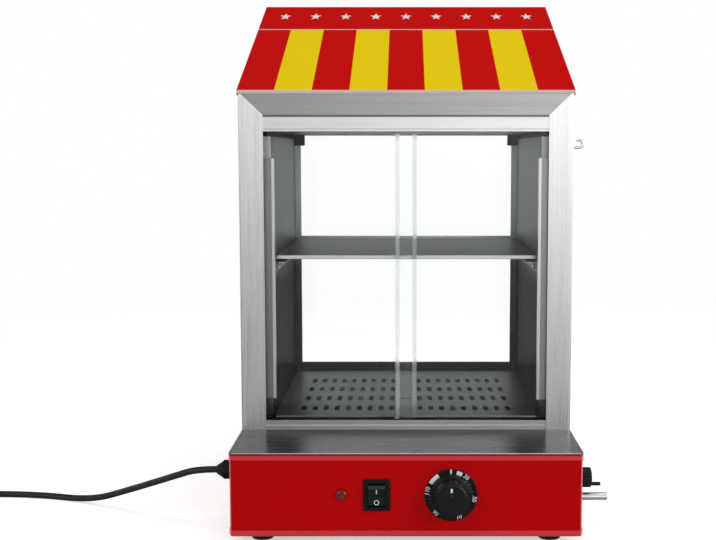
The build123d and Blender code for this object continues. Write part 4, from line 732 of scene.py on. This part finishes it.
# The rocker's V face, as distances out from the pivot, and half of its height.
face_middle, face_end = -0.0062, -0.0082
face_half = 0.01175
mark_height = 0.0058         # from the rocker's middle line to the middle of each mark
bar_half_width = 0.00045
ring_inner, ring_outer = 0.0019, 0.0026
ring_steps = 28


def on_rocker(x, up, lift=0.00004):
    """Point on the rocker's V face, this far up from its middle line and lifted off it."""
    out = face_middle + (face_end - face_middle) * abs(up) / face_half - lift
    return Vector((
        pivot.x + x,
        pivot.y + out * math.cos(rest_tilt) - up * math.sin(rest_tilt),
        pivot.z + out * math.sin(rest_tilt) + up * math.cos(rest_tilt),
    ))


def print_marks(shape):
    half = bar_half_width
    bar = [(-half, -ring_outer), (half, -ring_outer), (half, ring_outer), (-half, ring_outer)]
    shape.faces.new([shape.verts.new(on_rocker(x, mark_height + up)) for x, up in bar])
    angles = [2 * math.pi * step / ring_steps for step in range(ring_steps)]
    inner, outer = [
        [shape.verts.new(on_rocker(r * math.cos(a), r * math.sin(a) - mark_height)) for a in angles]
        for r in (ring_inner, ring_outer)
    ]
    for i in range(ring_steps):
        j = (i + 1) % ring_steps
        shape.faces.new((inner[i], inner[j], outer[j], outer[i]))


switch_marks = mesh_of("switch_marks", print_marks)
if sum(face.normal.y for face in switch_marks.polygons) > 0:
    switch_marks.flip_normals()
new_piece("switch_marks", switch_marks, white_print, "power_rocker")

lamp_axis = Vector((-0.0636, 0, 0.052))
lamp_lens, tree = finish(
    "lamp_lens", (0.08, 0.001, 0.001), 0.12, more={"Coat Weight": 0.25, "Coat Roughness": 0.06}
)
ribs = front_rings(tree, lamp_axis, 350)
tint(tree, ribs, (0.24, 0.006, 0.005))
grain(tree, ribs, 0.2, 0.0002)
dress(lamp_lens, "lamp_lens")
dress(moulded("lamp_nylon", (0.32, 0.31, 0.28), 0.45), "lamp_barrel")

# ---- Drain ----
# A brass tap behind the wall, with a thin steel pipe from the tank and a plain spout for a hose.
# The black handle outside turns the tap's spindle by its crank pin.
dress(plated("pipe_steel", (0.84, 0.84, 0.85), 0.38, 120), "drain_pipe", "drain_spout")
dress(moulded("handle_phenolic", (0.011, 0.011, 0.012), 0.32), "drain_handle")

# ---- Roof cover ----
# A thin steel cover over the roof sheet, stoved white and printed with nine red and yellow awning
# stripes under a plain red band. Its folded edges are left unprinted, and their pale grey-pink tone
# is partly a painted highlight on the folded metal.
eave_y, ridge_y = -0.105, 0.175
eave_z, ridge_z = 0.452, 0.570
cover_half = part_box("roof_cover")[1].x
stripe_count = 9
stripe_width = 2 * cover_half / stripe_count
band_height = 0.0355
band_edge = ridge_z - band_height
band_line = 0.0012
printed_to = cover_half - 0.0003
printed_front = eave_y - 0.0002
roof_red = (0.525, 0.0006, 0.0012)
roof_yellow = (0.76, 0.56, 0.002)
line_pink = (0.72, 0.40, 0.36)
unprinted_edge_highlight = (0.60, 0.50, 0.49)
faded_red = (0.36, 0.06, 0.02)
roof_enamel, tree = finish("roof_enamel", roof_red, 0.36, more={"Specular IOR Level": 0.02})
place = position(tree)
stripe_number = calculate(
    tree, "DIVIDE", calculate(tree, "ADD", place["X"], cover_half), stripe_width
)
halved = calculate(tree, "FRACT", calculate(tree, "MULTIPLY", stripe_number, 0.5))
tint(tree, calculate(tree, "GREATER_THAN", halved, 0.5), roof_yellow)
tint(tree, calculate(tree, "GREATER_THAN", place["Z"], band_edge), roof_red)
over_line = calculate(tree, "GREATER_THAN", place["Z"], band_edge - band_line)
under_band = calculate(tree, "LESS_THAN", place["Z"], band_edge)
tint(tree, calculate(tree, "MULTIPLY", over_line, under_band), line_pink)
# The unprinted edges' pale grey-pink tone is partly a painted highlight.
outward = calculate(tree, "ABSOLUTE", place["X"])
side_edge = calculate(tree, "GREATER_THAN", outward, printed_to)
front_edge = calculate(tree, "LESS_THAN", place["Y"], printed_front)
tint(tree, calculate(tree, "MAXIMUM", side_edge, front_edge), unprinted_edge_highlight)
tint(tree, ramp(tree, noise(tree, 6), 0, 0.04), faded_red)
gloss(tree, noise(tree, 30), 0.44, 0.56)
grain(tree, noise(tree, 500, 1.0), 0.06, 0.0002)
dress(roof_enamel, "roof_cover")

# ---- Stars on the roof ----
# Small plain stars of white film, stuck in one row along the red band. They are cut long,
# because the roof is mostly seen at a low angle.
star_count = 9
star_points = 5
star_r = 0.0070
star_inner_r = star_r * 0.42
star_stretch = 1.9
star_span = 0.148
star_drop = 0.0165           # the row's height below the ridge
film_low, film_high = 0.00002, 0.00018
cover_out = 0.0009           # the cover's top stands this far off the roof sheet's line


def cut_star(shape):
    ring = []
    for corner in range(2 * star_points):
        r = star_inner_r if corner % 2 else star_r
        angle = math.pi / 2 + corner * math.pi / star_points
        ring.append((r * math.cos(angle), star_stretch * r * math.sin(angle)))
    top = [shape.verts.new((x, y, film_high)) for x, y in ring]
    bottom = [shape.verts.new((x, y, film_low)) for x, y in ring]
    shape.faces.new(top)
    shape.faces.new(bottom[::-1])
    for i in range(len(ring)):
        j = (i + 1) % len(ring)
        shape.faces.new((top[i], bottom[i], bottom[j], top[j]))


roof_slope = math.atan2(ridge_z - eave_z, ridge_y - eave_y)
roof_normal = Vector((0, -math.sin(roof_slope), math.cos(roof_slope)))
star_back = star_drop / math.tan(roof_slope)
row_middle = Vector((0, ridge_y - star_back, ridge_z - star_drop)) + roof_normal * cover_out
star_step = 2 * star_span / (star_count - 1)
spots = [row_middle + Vector((i * star_step - star_span, 0, 0)) for i in range(star_count)]
white_film, tree = finish("white_film", (0.82, 0.81, 0.80), 0.4)
tint(tree, noise(tree, 80), (0.72, 0.70, 0.69))
star_mesh = mesh_of("star", cut_star)
star_row = stand_on_points(
    "roof_stars", star_mesh, spots, [roof_normal] * star_count, white_film, turn=0.0, seed=2
)
new_piece("roof_stars", star_row, white_film, "cabinet")

# ---- Door rails and runners ----
# Extruded aluminium angles, satin anodised, screwed to the deck and the roof sheet. The panes slide
# in black plastic runners that are pushed into them. A dark band along the top rail's upper edge is
# painted shadow in the joint under the header, and the lower rail is a darker copy of the rail
# finish as painted shade.
# Painted shadow along the top rail's upper edge, under the header.
rail_shadow_width = 0.0022
anodised_rail = brushed("anodised_rail", (0.80, 0.80, 0.805), "x", 0.36, 0.04, 0.4)
tree = anodised_rail.node_tree
header_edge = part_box("roof_sheet")[0].z
rail_shadow = soft_step(tree, position(tree)["Z"], header_edge - rail_shadow_width, 0.0004)
tint(tree, rail_shadow, (0.16, 0.16, 0.16))
dress(anodised_rail, "top_rail")
# The lower rail is a darker copy of the rail finish, as painted shade.
dress(brushed("shaded_rail", (0.43, 0.43, 0.43), "x", 0.40, 0.08, 0.4), "bottom_rail")
runner_plastic = moulded("runner_plastic", (0.006, 0.006, 0.007), 0.6, 900)
dress(runner_plastic, "bottom_runner", "top_runner")

# ---- Glass doors and rear window ----
# Clear 4 mm tempered glass with ground edges. The channels that serve as pulls are satin
# aluminium, and the fixed rear pane sits in black rubber with a clip in each upper corner.
clear_glass, tree = finish(
    "clear_glass", (0.99, 1.0, 0.995), 0.0,
    more={"Transmission Weight": 1.0, "IOR": 1.5, "Specular Tint": (0.3, 0.3, 0.3, 1)},
)
gloss(tree, noise(tree, (14, 14, 9), 4.0), 0.0, 0.03, 0.5, 0.8)
dress(clear_glass, "door_left", "door_right", "rear_pane")

# The pulls are dull on their broad side, and their inner edge is painted bright as a painted
# highlight.
highlight_width = 0.0029
pull_aluminium = brushed("pull_aluminium", (0.28, 0.28, 0.285), "z", 0.34, 0.05, 0.4)
tree = pull_aluminium.node_tree
# The bright inner edge is a painted highlight.
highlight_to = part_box("pull_right")[0].x + highlight_width
outward = calculate(tree, "ABSOLUTE", position(tree)["X"])
tint(tree, soft_step(tree, outward, highlight_to, 0.0003, 1, 0), (0.64, 0.64, 0.645))
dress(pull_aluminium, "pull_left", "pull_right")

# Clear plastic strips, clipped on the panes' upright edges where they pass each other.
seal_plastic, tree = finish(
    "seal_plastic", (0.97, 0.985, 0.98), 0.08, more={"Transmission Weight": 0.94}
)
gloss(tree, noise(tree, (900, 900, 40)), 0.04, 0.12)
seal_width = 0.0042
seal_wall = 0.0005
glass_gap = 0.00002
wall_inside = seal_wall - glass_gap
above_runner, below_runner = 0.008, 0.012


def clip_seal(node, edge, inward):
    """U-shaped strip on a pane's upright edge, as high as the glass between the rails."""
    low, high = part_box(node)
    front, back = low.y - seal_wall, high.y + seal_wall
    open_x = edge + inward * seal_width
    outer_x = edge - inward * seal_wall
    inner_x = edge - inward * glass_gap
    outline = [
        (open_x, front), (outer_x, front), (outer_x, back), (open_x, back),
        (open_x, back - wall_inside), (inner_x, back - wall_inside),
        (inner_x, front + wall_inside), (open_x, front + wall_inside),
    ]

    def draw(shape):
        bottom, top = [
            [shape.verts.new((x, y, z)) for x, y in outline]
            for z in (low.z + above_runner, high.z - below_runner)
        ]
        shape.faces.new(bottom)
        shape.faces.new(top[::-1])
        for i in range(len(outline)):
            j = (i + 1) % len(outline)
            shape.faces.new((bottom[i], bottom[j], top[j], top[i]))
    return draw


for name, node, edge, inward, body in (
    ("seal_left", "door_left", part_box("door_left")[1].x, -1, "left_door"),
    ("seal_right", "door_right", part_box("door_right")[0].x, 1, "right_door"),
):
    strip = mesh_of(name, clip_seal(node, edge, inward))
    new_piece(name, strip, seal_plastic, body)

gasket_rubber, tree = finish("gasket_rubber", (0.014, 0.014, 0.014), 0.6)
gloss(tree, noise(tree, 500), 0.52, 0.7)
grain(tree, noise(tree, 1600), 0.2, 0.0002)
dress(gasket_rubber, "rear_gasket")
dress(moulded("clip_plastic", (0.012, 0.013, 0.012), 0.4), "window_clips")

# ---- Liner, shelf and floor ----
# The chamber's walls are thinner stainless sheet with a fine grain, darkened below the shelf as
# painted shade and with a painted shadow band under the ceiling. The shelf and the perforated floor
# are loose trays of the same sheet. The shelf rests on angles that are screwed to the walls, and
# the floor in the tank's rim.
# Below the shelf the walls are darkened as painted shade.
shelf_shade_line, shelf_shade_blur = 0.2775, 0.0225
shelf_shade_strength = 0.93
shelf_shade_tone = (0.028, 0.034, 0.031)
ceiling_shadow_height = 0.006
ceiling_shadow_tone = (0.012, 0.013, 0.013)
liner_steel = brushed("liner_upright", (0.40, 0.43, 0.415), "z", 0.36, 0.08, edge_on=0.25)
tree = liner_steel.node_tree
wander = calculate(tree, "MULTIPLY", noise(tree, 9), 0.03)
height = calculate(tree, "ADD", position(tree)["Z"], wander)
tint(tree, soft_step(tree, height, shelf_shade_line, shelf_shade_blur, shelf_shade_strength, 0), shelf_shade_tone)
# A dark band under the ceiling is painted shadow.
ceiling_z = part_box("liner_ceiling")[0].z
ceiling_shadow = soft_step(tree, position(tree)["Z"], ceiling_z - ceiling_shadow_height, 0.0005)
tint(tree, ceiling_shadow, ceiling_shadow_tone)
dress(liner_steel, "liner_right", "liner_left", "liner_back")
liner_level = brushed("liner_level", (0.40, 0.42, 0.41), "x", 0.36, 0.08, edge_on=0.25)
dress(liner_level, "liner_ceiling", "shelf_supports", "heater_saddles")
dress(brushed("shelf_steel", (0.46, 0.48, 0.47), "x", 0.32, 0.08, edge_on=0.18), "shelf")
floor_steel = brushed("floor_steel", (0.40, 0.42, 0.41), "x", 0.32, 0.08, edge_on=0.16)
dress(floor_steel, "chamber_floor")

# ---- Utensil hook ----
# Satin steel wire, 3 mm thick, with a round foot that is riveted to the right-hand wall. It runs
# straight out and its end curls up, so that a pair of tongs can hang on it.
dress(plated("hook_wire", (0.86, 0.86, 0.86), 0.36, 150), "utensil_hook")

# ---- Wiring parts ----
# A ceramic terminal block takes the lead inside the base, and a round thermal cut-out with a
# steel cap is pressed against the tank's bottom.
ceramic, tree = finish("ceramic", (0.78, 0.75, 0.69), 0.5)
tint(tree, ramp(tree, noise(tree, 700), 0, 1, 0.6, 0.75), (0.56, 0.50, 0.43))
grain(tree, noise(tree, 1100), 0.15, 0.0002)
dress(ceramic, "terminal_block")
dress(plated("cutout_cap", (0.60, 0.60, 0.58), 0.3, 90), "safety_cutout")

# ---- Light and floor ----
# Plain studio: a pale floor that fades into a white backdrop, and three soft lamps. Metal
# mirrors white behind the steamer, and in front a room that brightens to the right.


def ray(tree, kind):
    """1 for rays of this kind: Camera, Glossy or Transmission."""
    return tree.nodes.new("ShaderNodeLightPath").outputs[f"Is {kind} Ray"]


def seen(tree):
    """1 for rays that show the background itself, straight or through glass."""
    return calculate(tree, "MAXIMUM", ray(tree, "Camera"), ray(tree, "Transmission"))


floor_reach = 6
floor_tone = (0.8, 0.8, 0.8)
mirrored_floor_tone = (0.38, 0.38, 0.38)
floor_whitening = 0.56
fade_start, fade_end = 0.8, 2.2
corners = [(-floor_reach, -floor_reach, 0), (floor_reach, -floor_reach, 0)]
corners += [(floor_reach, floor_reach, 0), (-floor_reach, floor_reach, 0)]
floor_mesh = bpy.data.meshes.new("floor")
floor_mesh.from_pydata(corners, [], [(0, 1, 2, 3)])
floor = bpy.data.objects.new("floor", floor_mesh)
bpy.context.scene.collection.objects.link(floor)
pale, tree = finish("pale_floor", floor_tone, 0.8, more={"Emission Color": (1, 1, 1, 1)})
sockets = tree.nodes["Principled BSDF"].inputs
only_mirrored = calculate(tree, "SUBTRACT", ray(tree, "Glossy"), ray(tree, "Transmission"))
tint(tree, only_mirrored, mirrored_floor_tone)
whitened = calculate(tree, "MULTIPLY", seen(tree), floor_whitening)
tree.links.new(whitened, sockets["Emission Strength"])
distance = tree.nodes.new("ShaderNodeVectorMath")
distance.operation = "LENGTH"
tree.links.new(place_on(tree, 1), distance.inputs[0])
faded = ramp(tree, distance.outputs["Value"], 1.0, 0.0, fade_start, fade_end)
tree.links.new(faded, sockets["Alpha"])
floor_mesh.materials.append(pale)

world = bpy.data.worlds.new("studio")
world.use_nodes = True
bpy.context.scene.world = world
tree = world.node_tree
background = tree.nodes["Background"]
background.inputs["Color"].default_value = (1, 1, 1, 1)
direction = tree.nodes.new("ShaderNodeTexCoord")
split = tree.nodes.new("ShaderNodeSeparateXYZ")
tree.links.new(direction.outputs["Generated"], split.inputs["Vector"])
towards = split.outputs
# How bright the room in front is, by the height that a ray looks to.
lowest, highest = -0.5, 0.75
lowest_level, highest_level = 0.35, 0.12
room_levels = (
    (-0.12, 0.43), (-0.05, 0.55), (0.03, 1.15), (0.09, 1.15),
    (0.15, 0.30), (0.20, 2.3), (0.28, 2.3), (0.33, 0.15),
)
heights = tree.nodes.new("ShaderNodeValToRGB")
tree.links.new(ramp(tree, towards["Z"], 0, 1, lowest, highest), heights.inputs["Fac"])
heights.color_ramp.elements[0].color = (lowest_level, lowest_level, lowest_level, 1)
heights.color_ramp.elements[1].color = (highest_level, highest_level, highest_level, 1)
for height, shade in room_levels:
    stop = heights.color_ramp.elements.new((height - lowest) / (highest - lowest))
    stop.color = (shade, shade, shade, 1)
left_share, right_share = 0.68, 1.78
share_edge = 0.11
to_right = ramp(tree, towards["X"], left_share, right_share, -share_edge, share_edge)
room = calculate(tree, "MULTIPLY", heights.outputs["Color"], to_right)
# Behind the steamer the backdrop is white up to its edge and dark over it.
backdrop_edge, backdrop_end = 0.28, 0.48
over_backdrop = 0.06
backdrop = ramp(tree, towards["Z"], 1.0, over_backdrop, backdrop_edge, backdrop_end)
behind = ramp(tree, towards["Y"], 0.0, 1.0, -0.1, 0.3)
backdrop_part = calculate(tree, "MULTIPLY", behind, calculate(tree, "SUBTRACT", backdrop, room))
mirrored = calculate(tree, "ADD", backdrop_part, room)
# Dull surfaces are lit by one plain level all round.
plain_level = 0.42
over_plain = calculate(tree, "SUBTRACT", mirrored, plain_level)
glossy_part = calculate(tree, "MULTIPLY", ray(tree, "Glossy"), over_plain)
level = calculate(tree, "ADD", plain_level, glossy_part)
tree.links.new(calculate(tree, "MAXIMUM", level, seen(tree)), background.inputs["Strength"])

lamps = (
    ("left_softbox", (-1.6, -1.5, 1.1), 1.1, 8),
    ("right_softbox", (1.7, -1.2, 1.1), 1.1, 18),
    ("top_softbox", (0.1, -0.3, 2.2), 1.4, 13),
)
lamp_target = Vector((0, 0, 0.25))
for name, spot, size, power in lamps:
    lamp_data = bpy.data.lights.new(name, "AREA")
    lamp_data.size = size
    lamp_data.energy = power
    lamp = bpy.data.objects.new(name, lamp_data)
    lamp.location = spot
    lamp.rotation_euler = (Vector(spot) - lamp_target).to_track_quat("Z", "Y").to_euler()
    bpy.context.scene.collection.objects.link(lamp)
bpy.context.scene.view_settings.view_transform = "Standard"
